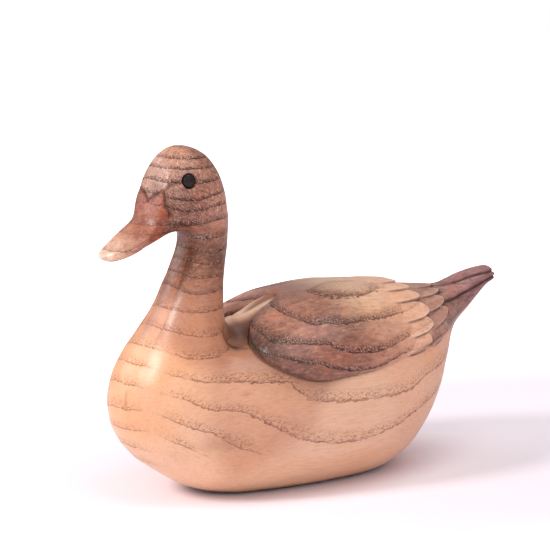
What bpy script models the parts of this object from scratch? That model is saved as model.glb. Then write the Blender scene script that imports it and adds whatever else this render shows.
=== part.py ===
# Carved wooden duck with let-in eyes. Millimetres in the tables, metres in the model.
# The bill points along -Y, +X is the duck's left side, Z is up, the duck rests on z = 0.
import bmesh
import bpy
import numpy as np
from mathutils import Matrix

MM = 0.001
SIDE_MARK = {1: "l", -1: "r"}

# growth of the carved block from the tail to the bill, one row a section:
# back point y, z; front point y, z; half width; place of the widest point from the back (0 to 1);
# fullness of the back side and of the front side (2 is an ellipse, more is squarer)
SECTIONS = [
    # tail
    (96.8, 82.0, 98.0, 74.6, 6.2, 0.55, 2.0, 2.0),
    (91.0, 81.2, 91.6, 71.4, 8.2, 0.50, 2.0, 2.0),
    (83.5, 80.0, 81.5, 62.5, 9.8, 0.50, 2.0, 2.0),
    (75.0, 77.2, 70.5, 52.0, 12.0, 0.50, 2.1, 2.0),
    (66.5, 75.8, 64.0, 40.0, 16.8, 0.48, 2.2, 2.0),
    (57.5, 76.2, 59.0, 28.0, 23.2, 0.47, 2.2, 2.0),
    # body
    (47.5, 78.0, 51.5, 14.8, 30.0, 0.46, 2.2, 2.0),
    (36.0, 80.2, 40.0, 2.6, 36.0, 0.45, 2.2, 2.0),
    (22.0, 81.1, 25.0, -3.0, 41.0, 0.44, 2.2, 2.0),
    (6.0, 81.3, 8.0, -4.5, 43.6, 0.44, 2.2, 2.0),
    (-9.0, 79.3, -12.0, -4.6, 43.5, 0.43, 2.2, 2.0),
    (-22.0, 75.8, -34.0, -3.6, 41.5, 0.42, 2.2, 2.0),
    (-32.0, 71.6, -54.5, 0.3, 38.0, 0.43, 2.2, 2.0),
    # breast, turning about the foot of the nape
    (-38.5, 70.2, -73.0, 10.4, 34.0, 0.48, 2.1, 2.0),
    (-41.5, 70.6, -87.3, 23.0, 30.0, 0.52, 2.0, 2.0),
    (-43.0, 72.5, -92.6, 37.0, 26.5, 0.52, 2.0, 2.0),
    (-43.8, 75.5, -91.0, 50.5, 22.5, 0.50, 2.0, 2.0),
    (-44.0, 79.5, -83.5, 63.5, 18.8, 0.48, 2.0, 2.0),
    # neck
    (-43.8, 86.0, -74.5, 76.0, 15.5, 0.48, 2.0, 2.0),
    (-43.0, 94.5, -68.0, 89.0, 13.2, 0.48, 2.0, 2.0),
    (-41.5, 104.0, -62.6, 101.5, 12.0, 0.48, 2.0, 2.0),
    # head, turning about the throat
    (-41.0, 113.0, -61.8, 108.8, 12.2, 0.48, 2.0, 2.0),
    (-42.0, 123.0, -65.5, 110.0, 13.2, 0.46, 2.0, 2.0),
    (-45.2, 133.5, -69.5, 109.2, 14.2, 0.45, 2.0, 2.0),
    (-52.5, 142.0, -73.0, 107.6, 14.6, 0.45, 2.0, 2.0),
    (-63.0, 145.0, -76.0, 106.0, 13.8, 0.48, 2.0, 2.0),
    (-71.0, 140.2, -78.8, 104.8, 12.4, 0.55, 2.0, 2.0),
    (-74.2, 131.2, -81.5, 103.6, 11.0, 0.60, 2.0, 2.0),
    # bill
    (-76.6, 123.3, -84.5, 102.4, 10.0, 0.62, 2.0, 2.2),
    (-81.0, 117.0, -88.0, 101.4, 9.0, 0.62, 2.0, 2.4),
    (-86.6, 112.2, -91.2, 100.7, 8.2, 0.62, 2.1, 2.4),
    (-92.0, 108.2, -94.2, 100.3, 7.0, 0.60, 2.2, 2.4),
    (-96.2, 104.8, -96.2, 100.6, 4.6, 0.55, 2.2, 2.2),
    (-98.0, 103.2, -98.0, 101.6, 1.8, 0.55, 2.0, 2.0),
]
RINGS = 60                 # rings of the block from end to end
ROUND = 36                 # corners in a ring, none of them on the middle line
LOOK_ALONG, LOOK_AROUND = 0.02, 0.012    # small steps that give the way out of a surface

# soft hollows pressed into the block on both sides: section number, angle, reach along, reach around, depth
HOLLOWS = [
    (13.1, 30.0, 9.0, 8.0, 2.4),   # between the foot of the neck and the wing
    (26.6, 100.0, 5.0, 6.0, 0.7),  # cheek behind the bill
]

# folded wing: outline in section numbers and degrees from the ridge of the back
WING_FRONT = 12.88
WING_END = 6.7
WING_UPPER = [(6.7, -4.0), (10.2, -4.0), (10.5, 0.5), (10.9, 3.6), (11.4, 5.6), (11.95, 10.0), (12.45, 17.0),
              (12.75, 24.0), (12.88, 30.0)]
WING_LOWER = [(6.7, 71.0), (7.6, 74.0), (8.4, 76.6), (9.1, 78.2), (10.4, 79.0), (10.7, 78.0), (11.0, 75.5),
              (11.3, 72.3), (11.55, 68.3), (11.85, 63.2), (12.15, 58.1), (12.5, 52.0), (12.75, 45.0),
              (12.88, 38.0)]
WING_RISE = [(6.7, 0.3), (7.6, 1.3), (9.0, 1.9), (10.5, 2.5), (12.0, 3.3), (12.88, 3.2)]
WING_STEP = [(6.7, 0.0), (8.4, 0.1), (9.4, 0.75), (11.0, 1.0), (12.88, 1.0)]
WING_LIP = 0.6             # share of the step that stands as a wall at the edge
WING_CREASE = 0.3          # how far the wings fall toward the line where they meet
WING_PARTING = (10.2, 10.8)    # section numbers over which the two wings draw apart
# how far the roundings reach: shares of the width at the lower and upper edge, sections at the front
ROUND_LOWER, ROUND_UPPER, ROUND_FRONT = 0.22, 0.3, 0.9
WING_ROWS, WING_COLUMNS = 18, 10
WING_CROWDING, WING_SPREAD = 1.9, 0.035    # rows gather at the front, columns at both edges

# feathers, from the ridge outwards: upper edge, lower edge (degrees), root and tip (section numbers),
# lift of the tip
FEATHERS_BACK = [
    (-14.0, 14.0, 7.1, 4.1, 0.95),
    (13.0, 31.5, 7.1, 4.3, 0.95),
    (31.0, 48.8, 7.1, 4.45, 0.9),
    (48.0, 64.0, 7.1, 4.5, 0.85),
    (62.0, 75.5, 7.2, 4.95, 0.7),
]
FEATHERS_FRONT = [
    (-12.5, 12.5, 8.2, 6.3, 1.95),
    (12.0, 24.3, 8.2, 6.25, 1.95),
    (24.0, 36.4, 8.2, 6.15, 1.9),
    (37.0, 53.0, 8.2, 6.15, 1.8),
    (51.5, 64.0, 8.2, 6.25, 1.6),
    (62.0, 74.5, 8.2, 6.6, 1.2),
]
FEATHER_ROWS, FEATHER_COLUMNS = 5, 9
FEATHER_TILT = 0.35        # lower edge over the middle of a feather
FEATHER_WAIST = 0.15       # how far both ends are narrower than the widest place
FEATHER_WIDEST = 0.55      # where the widest place is along the feather
FEATHER_RISE = 0.8         # below 1 the feather rises soon after its root
TIP_ROUND = 0.34           # share of the length that rounds off
TIP_SIDE = 0.3             # how far the tip sits to the lower edge
TIP_BLUNT = 2.4            # over 2 the tip is blunter than round
BACK_ROOT = -0.5           # height of the root over the bare back
ROOT_SUNK = 0.4            # depth of the root in a wing
BURIED = 1.6               # how deep the wings reach into the block
BURIED_MORE = 0.17         # each feather reaches this much deeper than the one laid on before it

# cut lines: section number, degrees
CUT_CLEAR = 0.35           # how far a groove's outline is carried over the skin
CUT_RUN_OUT = (0.0, 0.55, 0.9)    # depth toward a free end, as a share
CUT_THIN = 0.35            # width left at a free end, as a share
CUT_OFF = 0.05             # a free end stops this far over the skin
TAIL_CUTS = [
    [(4.3, 2.5), (3.9, 8.0), (3.2, 17.0), (2.6, 26.0), (1.5, 41.0), (0.7, 51.0), (0.03, 58.0)],
    [(4.6, 42.0), (4.2, 47.0), (3.4, 55.0), (2.7, 62.0), (1.8, 76.0), (0.9, 91.0), (0.03, 100.0)],
]
TAIL_CUT_WIDE, TAIL_CUT_DEEP = 1.9, 1.2
BILL_EDGE = [(28.15, 0.0), (27.9, 10.0), (27.4, 26.0), (26.85, 41.0), (26.2, 56.0), (25.9, 66.0),
             (25.95, 78.0), (25.75, 90.0), (25.35, 101.0), (25.0, 112.0), (24.9, 121.0)]
BILL_EDGE_WIDE, BILL_EDGE_DEEP = 1.1, 0.6
MOUTH = [(31.6, 82.0), (30.9, 87.0), (30.0, 91.0), (29.0, 95.0), (28.0, 101.0), (27.0, 110.0), (26.4, 116.0)]
MOUTH_WIDE, MOUTH_DEEP = 0.9, 0.5
BROW = [(26.3, 58.0), (25.7, 65.0), (25.2, 70.5), (24.85, 73.0)]
BROW_WIDE, BROW_DEEP = 0.9, 0.35

# eyes
EYE_Y, EYE_Z = -64.4, 131.7
EYE_RADIUS = 2.75
EYE_GAP = 0.3              # between an eye and its drilled seat, all round and at the floor
EYE_FLOOR = 9.6            # floor of the drilled seat, from the middle of the head
EYE_RIM = 12.9             # where the dome of the eye meets the skin, from the middle of the head
EYE_DOME = 0.8
EYE_LEAD = 0.35            # part of the dome that stays inside the seat
EYE_DOME_STEPS = 5
EYE_SIDES = 24
SEAT_OVERRUN = 4.0         # the drilling starts this far outside the rim

# level ground that cuts the block off at the foot
GROUND_X, GROUND_Y, GROUND_DEEP = 80.0, 120.0, 20.0


def spline_rates(times):
    # matrix from knot values to the second rates of a natural cubic spline
    count = len(times)
    gap = np.diff(times)
    left = np.eye(count)
    right = np.zeros((count, count))
    for i in range(1, count - 1):
        left[i, i - 1:i + 2] = gap[i - 1], 2 * (gap[i - 1] + gap[i]), gap[i]
        right[i, i - 1:i + 2] = 6 / gap[i - 1], -6 / gap[i] - 6 / gap[i - 1], 6 / gap[i]
    return np.linalg.solve(left, right)


SECTION_VALUES = np.array(SECTIONS)
END_MOVES = [np.linalg.norm(np.diff(SECTION_VALUES[:, k:k + 2], axis=0), axis=1) for k in (0, 2)]
TIMES = np.concatenate([[0.0], np.cumsum(np.sqrt((END_MOVES[0] + END_MOVES[1]) / 2))])
RATES = spline_rates(TIMES) @ SECTION_VALUES


def section_at(number):
    # smooth section values at fractional section numbers
    time = np.interp(number, np.arange(len(TIMES)), TIMES)
    i = np.clip(np.searchsorted(TIMES, time, side="right") - 1, 0, len(TIMES) - 2)
    gap = TIMES[i + 1] - TIMES[i]
    a = ((TIMES[i + 1] - time) / gap)[..., None]
    b = ((time - TIMES[i]) / gap)[..., None]
    bend = ((a ** 3 - a) * RATES[i] + (b ** 3 - b) * RATES[i + 1]) * gap[..., None] ** 2 / 6
    return a * SECTION_VALUES[i] + b * SECTION_VALUES[i + 1] + bend


def bare_skin(number, angle):
    # point on the block; angle 0 is the back, pi the front, negative on the right side
    value = section_at(number)
    back, front = value[..., 0:2], value[..., 2:4]
    width, widest, full_back, full_front = (value[..., k] for k in (4, 5, 6, 7))
    turn = np.abs(angle)
    on_back = turn < np.pi / 2
    power = 2 / np.where(on_back, full_back, full_front)
    across = width * np.maximum(np.sin(turn), 0) ** power
    reach = np.abs(np.cos(turn)) ** power
    way = np.where(on_back, widest * (1 - reach), widest + (1 - widest) * reach)
    place = back + (front - back) * way[..., None]
    return np.stack([np.sign(angle) * across, place[..., 0], place[..., 1]], -1)


def outward(surface, number, angle):
    # unit normal by small steps along and around
    along = surface(number + LOOK_ALONG, angle) - surface(number - LOOK_ALONG, angle)
    around = surface(number, angle + LOOK_AROUND) - surface(number, angle - LOOK_AROUND)
    normal = np.cross(along, around)
    return normal / np.maximum(np.linalg.norm(normal, axis=-1, keepdims=True), 1e-9)


def skin(number, angle):
    # block with its hollows pressed in
    number, angle = np.broadcast_arrays(np.asarray(number, float), np.asarray(angle, float))
    point = bare_skin(number, angle)
    normal = outward(bare_skin, number, angle)
    depth = np.zeros(number.shape)
    for at_number, at_angle, long_reach, round_reach, deep in HOLLOWS:
        for side in (-1, 1):
            middle = bare_skin(np.array(at_number), np.array(side * np.radians(at_angle)))
            away = (point - middle) / (round_reach, long_reach, round_reach)
            depth = depth + deep * np.exp(-(away ** 2).sum(-1))
    return point - normal * depth[..., None]


def lifted(number, angle, height):
    # point at a height over the skin
    number, angle = np.broadcast_arrays(np.asarray(number, float), np.asarray(angle, float))
    return skin(number, angle) + outward(skin, number, angle) * np.asarray(height)[..., None]


def place_in(collection_name, obj):
    group = bpy.data.collections.get(collection_name) or bpy.data.collections.new(collection_name)
    if group.name not in bpy.context.scene.collection.children:
        bpy.context.scene.collection.children.link(group)
    group.objects.link(obj)


def solid(name, points, faces, collection_name):
    # faces over points in millimetres, turned to face out
    shell = bmesh.new()
    corners = [shell.verts.new(p) for p in np.asarray(points) * MM]
    for face in faces:
        shell.faces.new([corners[k] for k in face])
    bmesh.ops.recalc_face_normals(shell, faces=shell.faces)
    return from_shell(name, shell, collection_name)


def from_shell(name, shell, collection_name):
    mesh = bpy.data.meshes.new(name)
    shell.to_mesh(mesh)
    shell.free()
    obj = bpy.data.objects.new(name, mesh)
    place_in(collection_name, obj)
    return obj


def tube(name, rings, collection_name):
    # closed rings joined side by side, with a fan at both ends
    rows, cols = rings.shape[:2]
    points = np.concatenate([rings.reshape(-1, 3), rings[:1].mean(1), rings[-1:].mean(1)])
    faces = []
    for i in range(rows - 1):
        for j in range(cols):
            k = (j + 1) % cols
            faces.append((i * cols + j, (i + 1) * cols + j, (i + 1) * cols + k, i * cols + k))
    for j in range(cols):
        k = (j + 1) % cols
        faces.append((rows * cols, j, k))
        faces.append((rows * cols + 1, (rows - 1) * cols + k, (rows - 1) * cols + j))
    return solid(name, points, faces, collection_name)


def plate(name, top, bottom, collection_name):
    # two grids with the same outline, closed round the rim
    rows, cols = top.shape[:2]
    size = rows * cols
    points = np.concatenate([top.reshape(-1, 3), bottom.reshape(-1, 3)])
    faces = []
    for i in range(rows - 1):
        for j in range(cols - 1):
            quad = (i * cols + j, (i + 1) * cols + j, (i + 1) * cols + j + 1, i * cols + j + 1)
            faces.append(quad)
            faces.append(tuple(size + k for k in reversed(quad)))
    rim = [(0, j) for j in range(cols)] + [(i, cols - 1) for i in range(1, rows)]
    rim += [(rows - 1, j) for j in range(cols - 2, -1, -1)] + [(i, 0) for i in range(rows - 2, 0, -1)]
    for a, b in zip(rim, rim[1:] + rim[:1]):
        i, j = a[0] * cols + a[1], b[0] * cols + b[1]
        faces.append((i, j, size + j, size + i))
    return solid(name, points, faces, collection_name)


def add_boolean(target, tool, operation):
    step = target.modifiers.new(tool.name, "BOOLEAN")
    step.operation = operation
    step.solver = "EXACT"
    step.object = tool
    tool.hide_render = True
    tool.display_type = "WIRE"


def rounded(share):
    # quarter round from 0 to 1
    return np.sqrt(1 - (1 - np.clip(share, 0, 1)) ** 2)


def wing_height(number, degrees):
    # thickness of the folded wing: full inside, rounded off to a low step at the front and the lower edge
    upper = np.interp(number, *zip(*WING_UPPER))
    lower = np.interp(number, *zip(*WING_LOWER))
    v = (degrees - upper) / (lower - upper)
    rise = np.interp(number, *zip(*WING_RISE))
    step = np.interp(number, *zip(*WING_STEP))
    parted = np.interp(number, WING_PARTING, (0, 1))
    fall = WING_CREASE + (1 - WING_CREASE) * parted
    inside = rounded((1 - v) / ROUND_LOWER) * rounded((WING_FRONT - number) / ROUND_FRONT)
    inside = inside * (1 - fall * (1 - rounded(v / ROUND_UPPER)))
    return step * WING_LIP + (rise - step * WING_LIP) * inside


def wing(side):
    # folded wing: raised from the skin, round at its front and lower edge
    run = np.linspace(0, 1, WING_ROWS)[:, None] ** WING_CROWDING
    number = WING_FRONT - (WING_FRONT - WING_END) * run + np.zeros((1, WING_COLUMNS))
    v = np.linspace(0, 1, WING_COLUMNS)[None, :] + np.zeros((WING_ROWS, 1))
    v = v + WING_SPREAD * np.sin(2 * np.pi * v)
    upper = np.interp(number, *zip(*WING_UPPER))
    lower = np.interp(number, *zip(*WING_LOWER))
    degrees = upper + (lower - upper) * v
    angle = np.radians(degrees)
    top = lifted(number, side * angle, wing_height(number, degrees))
    bottom = lifted(number, side * angle, np.full(number.shape, -BURIED))
    return plate("wing_" + SIDE_MARK[side], top, bottom, "shaping")


def feather(name, side, row, on_wing, order):
    # tongue that leaves the form under it at its root and lifts to a round tip, its lower edge the higher
    upper, lower, root, tip, lift = row
    u = np.linspace(0, 1, FEATHER_ROWS)[:, None] + np.zeros((1, FEATHER_COLUMNS))
    v = np.linspace(-1, 1, FEATHER_COLUMNS)[None, :] + np.zeros((FEATHER_ROWS, 1))
    centre = upper < 0
    from_widest = (u - FEATHER_WIDEST) / (1 - FEATHER_WIDEST)
    degrees = (upper + lower) / 2 + (lower - upper) / 2 * v * (1 - FEATHER_WAIST * from_widest ** 2)
    angle = np.radians(degrees)
    apex = 0 if centre else TIP_SIDE
    from_apex = np.where(v > apex, (v - apex) / (1 - apex), (apex - v) / (1 + apex))
    number = root + (tip - root) * u * (1 - TIP_ROUND * from_apex ** TIP_BLUNT)
    tilt = FEATHER_TILT * (np.abs(v) ** 2 - 0.5 if centre else v)
    under = wing_height(number, np.abs(degrees)) - ROOT_SUNK if on_wing else np.full(number.shape, BACK_ROOT)
    height = under + (lift + tilt - under) * u ** FEATHER_RISE
    top = lifted(number, side * angle, height)
    bottom = lifted(number, side * angle, np.full(number.shape, -BURIED - BURIED_MORE * order))
    return plate(name, top, bottom, "shaping")


def cut_line(name, side, path, wide, deep, loose_start=True, loose_end=True):
    # body of V section along the skin, which takes out a groove and runs out at a free end
    knots = np.array(path)
    at = np.linspace(0, len(knots) - 1, 2 * len(knots))
    number = np.interp(at, np.arange(len(knots)), knots[:, 0])
    angle = side * np.radians(np.interp(at, np.arange(len(knots)), knots[:, 1]))
    point = lifted(number, angle, np.zeros(number.shape))
    normal = outward(skin, number, angle)
    if not loose_end:
        point = np.concatenate([point, point[-1:] * 3 - point[-2:-1] * 2])
        normal = np.concatenate([normal, normal[-1:]])
    along = np.gradient(point, axis=0)
    across = np.cross(normal, along)
    across /= np.linalg.norm(across, axis=-1, keepdims=True)
    ease = np.ones(len(point))
    if loose_start:
        ease[:len(CUT_RUN_OUT)] = CUT_RUN_OUT
    if loose_end:
        ease[-len(CUT_RUN_OUT):] = CUT_RUN_OUT[::-1]
    sink = (deep * ease - CUT_OFF * (1 - ease))[:, None]
    half = (wide / 2 * (deep + CUT_CLEAR) / deep * (CUT_THIN + (1 - CUT_THIN) * ease))[:, None]
    brim = point + normal * CUT_CLEAR
    rings = np.stack([brim + across * half, point - normal * sink, brim - across * half], 1)
    return tube(name, rings, "shaping")


def set_at_eye(obj, side):
    # the part's own Z turns outward through the head, its origin on the middle plane
    obj.location = (0.0, EYE_Y * MM, EYE_Z * MM)
    obj.rotation_euler = (0.0, side * np.pi / 2, 0.0)


def eye_seat(side):
    # drilled seat: a cylinder from its floor to well outside the head
    low, high = EYE_FLOOR * MM, (EYE_RIM + SEAT_OVERRUN) * MM
    radius = (EYE_RADIUS + EYE_GAP) * MM
    shell = bmesh.new()
    middle = Matrix.Translation((0.0, 0.0, (low + high) / 2))
    bmesh.ops.create_cone(shell, cap_ends=True, segments=EYE_SIDES, radius1=radius, radius2=radius,
                          depth=high - low, matrix=middle)
    seat = from_shell("eye_seat_" + SIDE_MARK[side], shell, "shaping")
    set_at_eye(seat, side)
    return seat


def eye_peg(name, side):
    # turned peg with a domed head, down its outer side from the top of the dome to the middle of its foot
    start = EYE_RIM - EYE_LEAD
    bow = np.linspace(np.pi / 2, 0, EYE_DOME_STEPS + 1)
    profile = [(EYE_RADIUS * np.cos(b), start + (EYE_DOME + EYE_LEAD) * np.sin(b)) for b in bow]
    profile += [(EYE_RADIUS, EYE_FLOOR + EYE_GAP), (0.0, EYE_FLOOR + EYE_GAP)]
    mesh = bpy.data.meshes.new(name)
    points = [(radius * MM, 0.0, reach * MM) for radius, reach in profile]
    mesh.from_pydata(points, [(i, i + 1) for i in range(len(points) - 1)], [])
    peg = bpy.data.objects.new(name, mesh)
    place_in("wooden_duck", peg)
    turn = peg.modifiers.new("turn", "SCREW")
    turn.axis = "Z"
    turn.steps = turn.render_steps = EYE_SIDES
    turn.use_merge_vertices = True
    turn.merge_threshold = 0.00005
    turn.use_smooth_shade = True
    set_at_eye(peg, side)
    return peg


def material(name, colour, roughness):
    mat = bpy.data.materials.new(name)
    mat.use_nodes = True
    shader = mat.node_tree.nodes["Principled BSDF"]
    shader.inputs["Base Color"].default_value = (*colour, 1.0)
    shader.inputs["Roughness"].default_value = roughness
    shader.inputs["Metallic"].default_value = 0.0
    return mat


def ground_box():
    shell = bmesh.new()
    size = Matrix.Diagonal((2 * GROUND_X * MM, 2 * GROUND_Y * MM, GROUND_DEEP * MM, 1.0))
    below = Matrix.Translation((0.0, 0.0, -GROUND_DEEP / 2 * MM))
    bmesh.ops.create_cube(shell, size=1.0, matrix=below @ size)
    return from_shell("ground_cut", shell, "shaping")


def build_duck():
    times = np.linspace(TIMES[0], TIMES[-1], RINGS)
    number = np.interp(times, TIMES, np.arange(len(TIMES)))[:, None]
    half_step = np.pi / ROUND
    angle = np.linspace(-np.pi, np.pi, ROUND, endpoint=False)[None, :] + half_step
    rings = skin(number + angle * 0, angle + number * 0)
    duck = tube("carved_duck", rings, "wooden_duck")
    for side in (1, -1):
        add_boolean(duck, wing(side), "UNION")
    # feathers from the lowest to the ridge, each over the one below it; the middle one is a single one
    order = 0
    for word, rows, on_wing in (("back", FEATHERS_BACK, False), ("front", FEATHERS_FRONT, True)):
        for i, row in enumerate(rows[::-1]):
            order += 1
            for side in (1,) if row[0] < 0 else (1, -1):
                name = "%s_feather_%d_%s" % (word, i, SIDE_MARK[side])
                add_boolean(duck, feather(name, side, row, on_wing, order), "UNION")
    for side in (1, -1):
        mark = SIDE_MARK[side]
        for i, path in enumerate(TAIL_CUTS):
            name = "tail_cut_%d_%s" % (i, mark)
            cut = cut_line(name, side, path, TAIL_CUT_WIDE, TAIL_CUT_DEEP, loose_end=False)
            add_boolean(duck, cut, "DIFFERENCE")
        add_boolean(duck, cut_line("mouth_" + mark, side, MOUTH, MOUTH_WIDE, MOUTH_DEEP), "DIFFERENCE")
        add_boolean(duck, cut_line("brow_" + mark, side, BROW, BROW_WIDE, BROW_DEEP), "DIFFERENCE")
    edge = BILL_EDGE[::-1] + [(number, -degrees) for number, degrees in BILL_EDGE[1:]]
    add_boolean(duck, cut_line("bill_edge", 1, edge, BILL_EDGE_WIDE, BILL_EDGE_DEEP), "DIFFERENCE")
    for side in (1, -1):
        add_boolean(duck, eye_seat(side), "DIFFERENCE")
    add_boolean(duck, ground_box(), "DIFFERENCE")
    return duck


for old in list(bpy.data.objects):
    bpy.data.objects.remove(old, do_unlink=True)
duck = build_duck()
duck.data.materials.append(material("wood", (0.60, 0.36, 0.22), 0.42))
duck.data.shade_smooth()
eye_colour = material("dark_eye", (0.035, 0.022, 0.022), 0.25)
for side, word in ((1, "left"), (-1, "right")):
    eye = eye_peg("eye_" + word, side)
    eye.data.materials.append(eye_colour)
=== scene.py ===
import math

import bpy
import numpy as np
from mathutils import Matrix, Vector


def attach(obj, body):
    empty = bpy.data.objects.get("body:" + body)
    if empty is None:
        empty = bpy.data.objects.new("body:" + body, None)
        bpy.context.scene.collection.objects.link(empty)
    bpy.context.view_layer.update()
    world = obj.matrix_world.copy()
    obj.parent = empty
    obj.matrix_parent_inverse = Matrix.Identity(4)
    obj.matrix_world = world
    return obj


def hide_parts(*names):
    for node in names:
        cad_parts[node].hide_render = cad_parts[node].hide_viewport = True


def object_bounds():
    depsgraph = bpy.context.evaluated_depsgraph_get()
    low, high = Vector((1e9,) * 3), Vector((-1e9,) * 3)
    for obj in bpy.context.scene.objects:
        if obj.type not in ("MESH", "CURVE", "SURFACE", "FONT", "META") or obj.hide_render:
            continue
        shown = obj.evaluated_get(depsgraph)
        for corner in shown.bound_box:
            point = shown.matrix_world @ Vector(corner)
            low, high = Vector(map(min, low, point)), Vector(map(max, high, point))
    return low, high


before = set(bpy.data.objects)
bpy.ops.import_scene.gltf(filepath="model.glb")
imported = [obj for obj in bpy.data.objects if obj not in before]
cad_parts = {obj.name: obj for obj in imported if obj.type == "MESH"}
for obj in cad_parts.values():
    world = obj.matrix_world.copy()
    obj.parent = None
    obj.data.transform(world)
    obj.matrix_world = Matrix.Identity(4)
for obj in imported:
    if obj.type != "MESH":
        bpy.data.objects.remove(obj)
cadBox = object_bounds()
mm = 0.001    # shapes are worked out in millimetres and stored in metres
print("frame loaded:", sorted(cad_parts))

# the carved block: the bill points along -Y, the duck's left side is +X
block = {
    # one row a section from the tail to the bill: back point y, z; front point y, z; half width;
    # place of the widest point from the back; fullness of the back and of the front side
    "sections": [
        (96.8, 82.0, 98.0, 74.6, 6.2, 0.55, 2.0, 2.0),
        (91.0, 81.2, 91.6, 71.4, 8.2, 0.50, 2.0, 2.0),
        (83.5, 80.0, 81.5, 62.5, 9.8, 0.50, 2.0, 2.0),
        (75.0, 77.2, 70.5, 52.0, 12.0, 0.50, 2.1, 2.0),
        (66.5, 75.8, 64.0, 40.0, 16.8, 0.48, 2.2, 2.0),
        (57.5, 76.2, 59.0, 28.0, 23.2, 0.47, 2.2, 2.0),
        (47.5, 78.0, 51.5, 14.8, 30.0, 0.46, 2.2, 2.0),
        (36.0, 80.2, 40.0, 2.6, 36.0, 0.45, 2.2, 2.0),
        (22.0, 81.1, 25.0, -3.0, 41.0, 0.44, 2.2, 2.0),
        (6.0, 81.3, 8.0, -4.5, 43.6, 0.44, 2.2, 2.0),
        (-9.0, 79.3, -12.0, -4.6, 43.5, 0.43, 2.2, 2.0),
        (-22.0, 75.8, -34.0, -3.6, 41.5, 0.42, 2.2, 2.0),
        (-32.0, 71.6, -54.5, 0.3, 38.0, 0.43, 2.2, 2.0),
        (-38.5, 70.2, -73.0, 10.4, 34.0, 0.48, 2.1, 2.0),
        (-41.5, 70.6, -87.3, 23.0, 30.0, 0.52, 2.0, 2.0),
        (-43.0, 72.5, -92.6, 37.0, 26.5, 0.52, 2.0, 2.0),
        (-43.8, 75.5, -91.0, 50.5, 22.5, 0.50, 2.0, 2.0),
        (-44.0, 79.5, -83.5, 63.5, 18.8, 0.48, 2.0, 2.0),
        (-43.8, 86.0, -74.5, 76.0, 15.5, 0.48, 2.0, 2.0),
        (-43.0, 94.5, -68.0, 89.0, 13.2, 0.48, 2.0, 2.0),
        (-41.5, 104.0, -62.6, 101.5, 12.0, 0.48, 2.0, 2.0),
        (-41.0, 113.0, -61.8, 108.8, 12.2, 0.48, 2.0, 2.0),
        (-42.0, 123.0, -65.5, 110.0, 13.2, 0.46, 2.0, 2.0),
        (-45.2, 133.5, -69.5, 109.2, 14.2, 0.45, 2.0, 2.0),
        (-52.5, 142.0, -73.0, 107.6, 14.6, 0.45, 2.0, 2.0),
        (-63.0, 145.0, -76.0, 106.0, 13.8, 0.48, 2.0, 2.0),
        (-71.0, 140.2, -78.8, 104.8, 12.4, 0.55, 2.0, 2.0),
        (-74.2, 131.2, -81.5, 103.6, 11.0, 0.60, 2.0, 2.0),
        (-76.6, 123.3, -84.5, 102.4, 10.0, 0.62, 2.0, 2.2),
        (-81.0, 117.0, -88.0, 101.4, 9.0, 0.62, 2.0, 2.4),
        (-86.6, 112.2, -91.2, 100.7, 8.2, 0.62, 2.1, 2.4),
        (-92.0, 108.2, -94.2, 100.3, 7.0, 0.60, 2.2, 2.4),
        (-96.2, 104.8, -96.2, 100.6, 4.6, 0.55, 2.2, 2.2),
        (-98.0, 103.2, -98.0, 101.6, 1.8, 0.55, 2.0, 2.0)],
    # soft hollows on both sides: section number, angle, reach along, reach around, depth
    "hollows": [(13.1, 30.0, 9.0, 8.0, 2.4), (26.6, 100.0, 5.0, 6.0, 0.7)],
    # (section number, grid spacing along the body): finer where there is carving
    "rowSpacing": [(0.0, 0.45), (3.9, 0.36), (4.3, 0.33), (8.4, 0.33), (9.0, 0.55), (10.2, 0.5), (10.8, 0.36),
                   (13.4, 0.36), (14.2, 0.8), (19.0, 0.8), (22.0, 0.5), (27.5, 0.42), (33.0, 0.36)],
    # degrees from the back whose lines pace the rows; the last of them counts from the foot of the neck on
    "meridians": (0, 45, 90, 135), "neckStart": 13.4, "samples": 6000,
    # (angle from the back, share of columns per degree)
    "columnDensity": [(0.0, 1.0), (80.0, 1.0), (90.0, 0.62), (125.0, 0.5), (140.0, 0.28), (180.0, 0.22)],
    "columns": 560,
    "quickSpacing": 2.2, "quickColumns": 2,      # a wider row spacing and a divisor of the columns, for a quicker grid
    "endRings": 6,
    "trianglesKept": 190000,
    "uneven": 0.16,            # waves left by the knife, in height
    "unevenReach": 11.0,       # and from crest to crest
    "unevenSeed": 3,
    "footRound": 0.5,          # the edge of the flat foot bends over within this height
    # painted contact shadow along the table: strength, most darkness and reach in mm
    "footShadow": 1.3, "footShadowMost": 1.1, "footShadowReach": 2.0,      # dark line along the table
}


def splineRates(times):
    # second rates of a natural cubic spline, from the equations that join neighbouring spans
    gap = np.diff(times)
    inner = np.arange(1, len(times) - 1)
    left = np.eye(len(times))
    right = np.zeros_like(left)
    left[inner, inner - 1] = gap[:-1]
    left[inner, inner] = 2 * (gap[:-1] + gap[1:])
    left[inner, inner + 1] = gap[1:]
    right[inner, inner - 1] = 6 / gap[:-1]
    right[inner, inner] = -6 / gap[:-1] - 6 / gap[1:]
    right[inner, inner + 1] = 6 / gap[1:]
    return np.linalg.solve(left, right)


sectionValues = np.array(block["sections"])
endMoves = [np.linalg.norm(np.diff(sectionValues[:, k:k + 2], axis=0), axis=1) for k in (0, 2)]
sectionTimes = np.concatenate([[0.0], np.cumsum(np.sqrt((endMoves[0] + endMoves[1]) / 2))])
sectionRates = splineRates(sectionTimes) @ sectionValues


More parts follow.
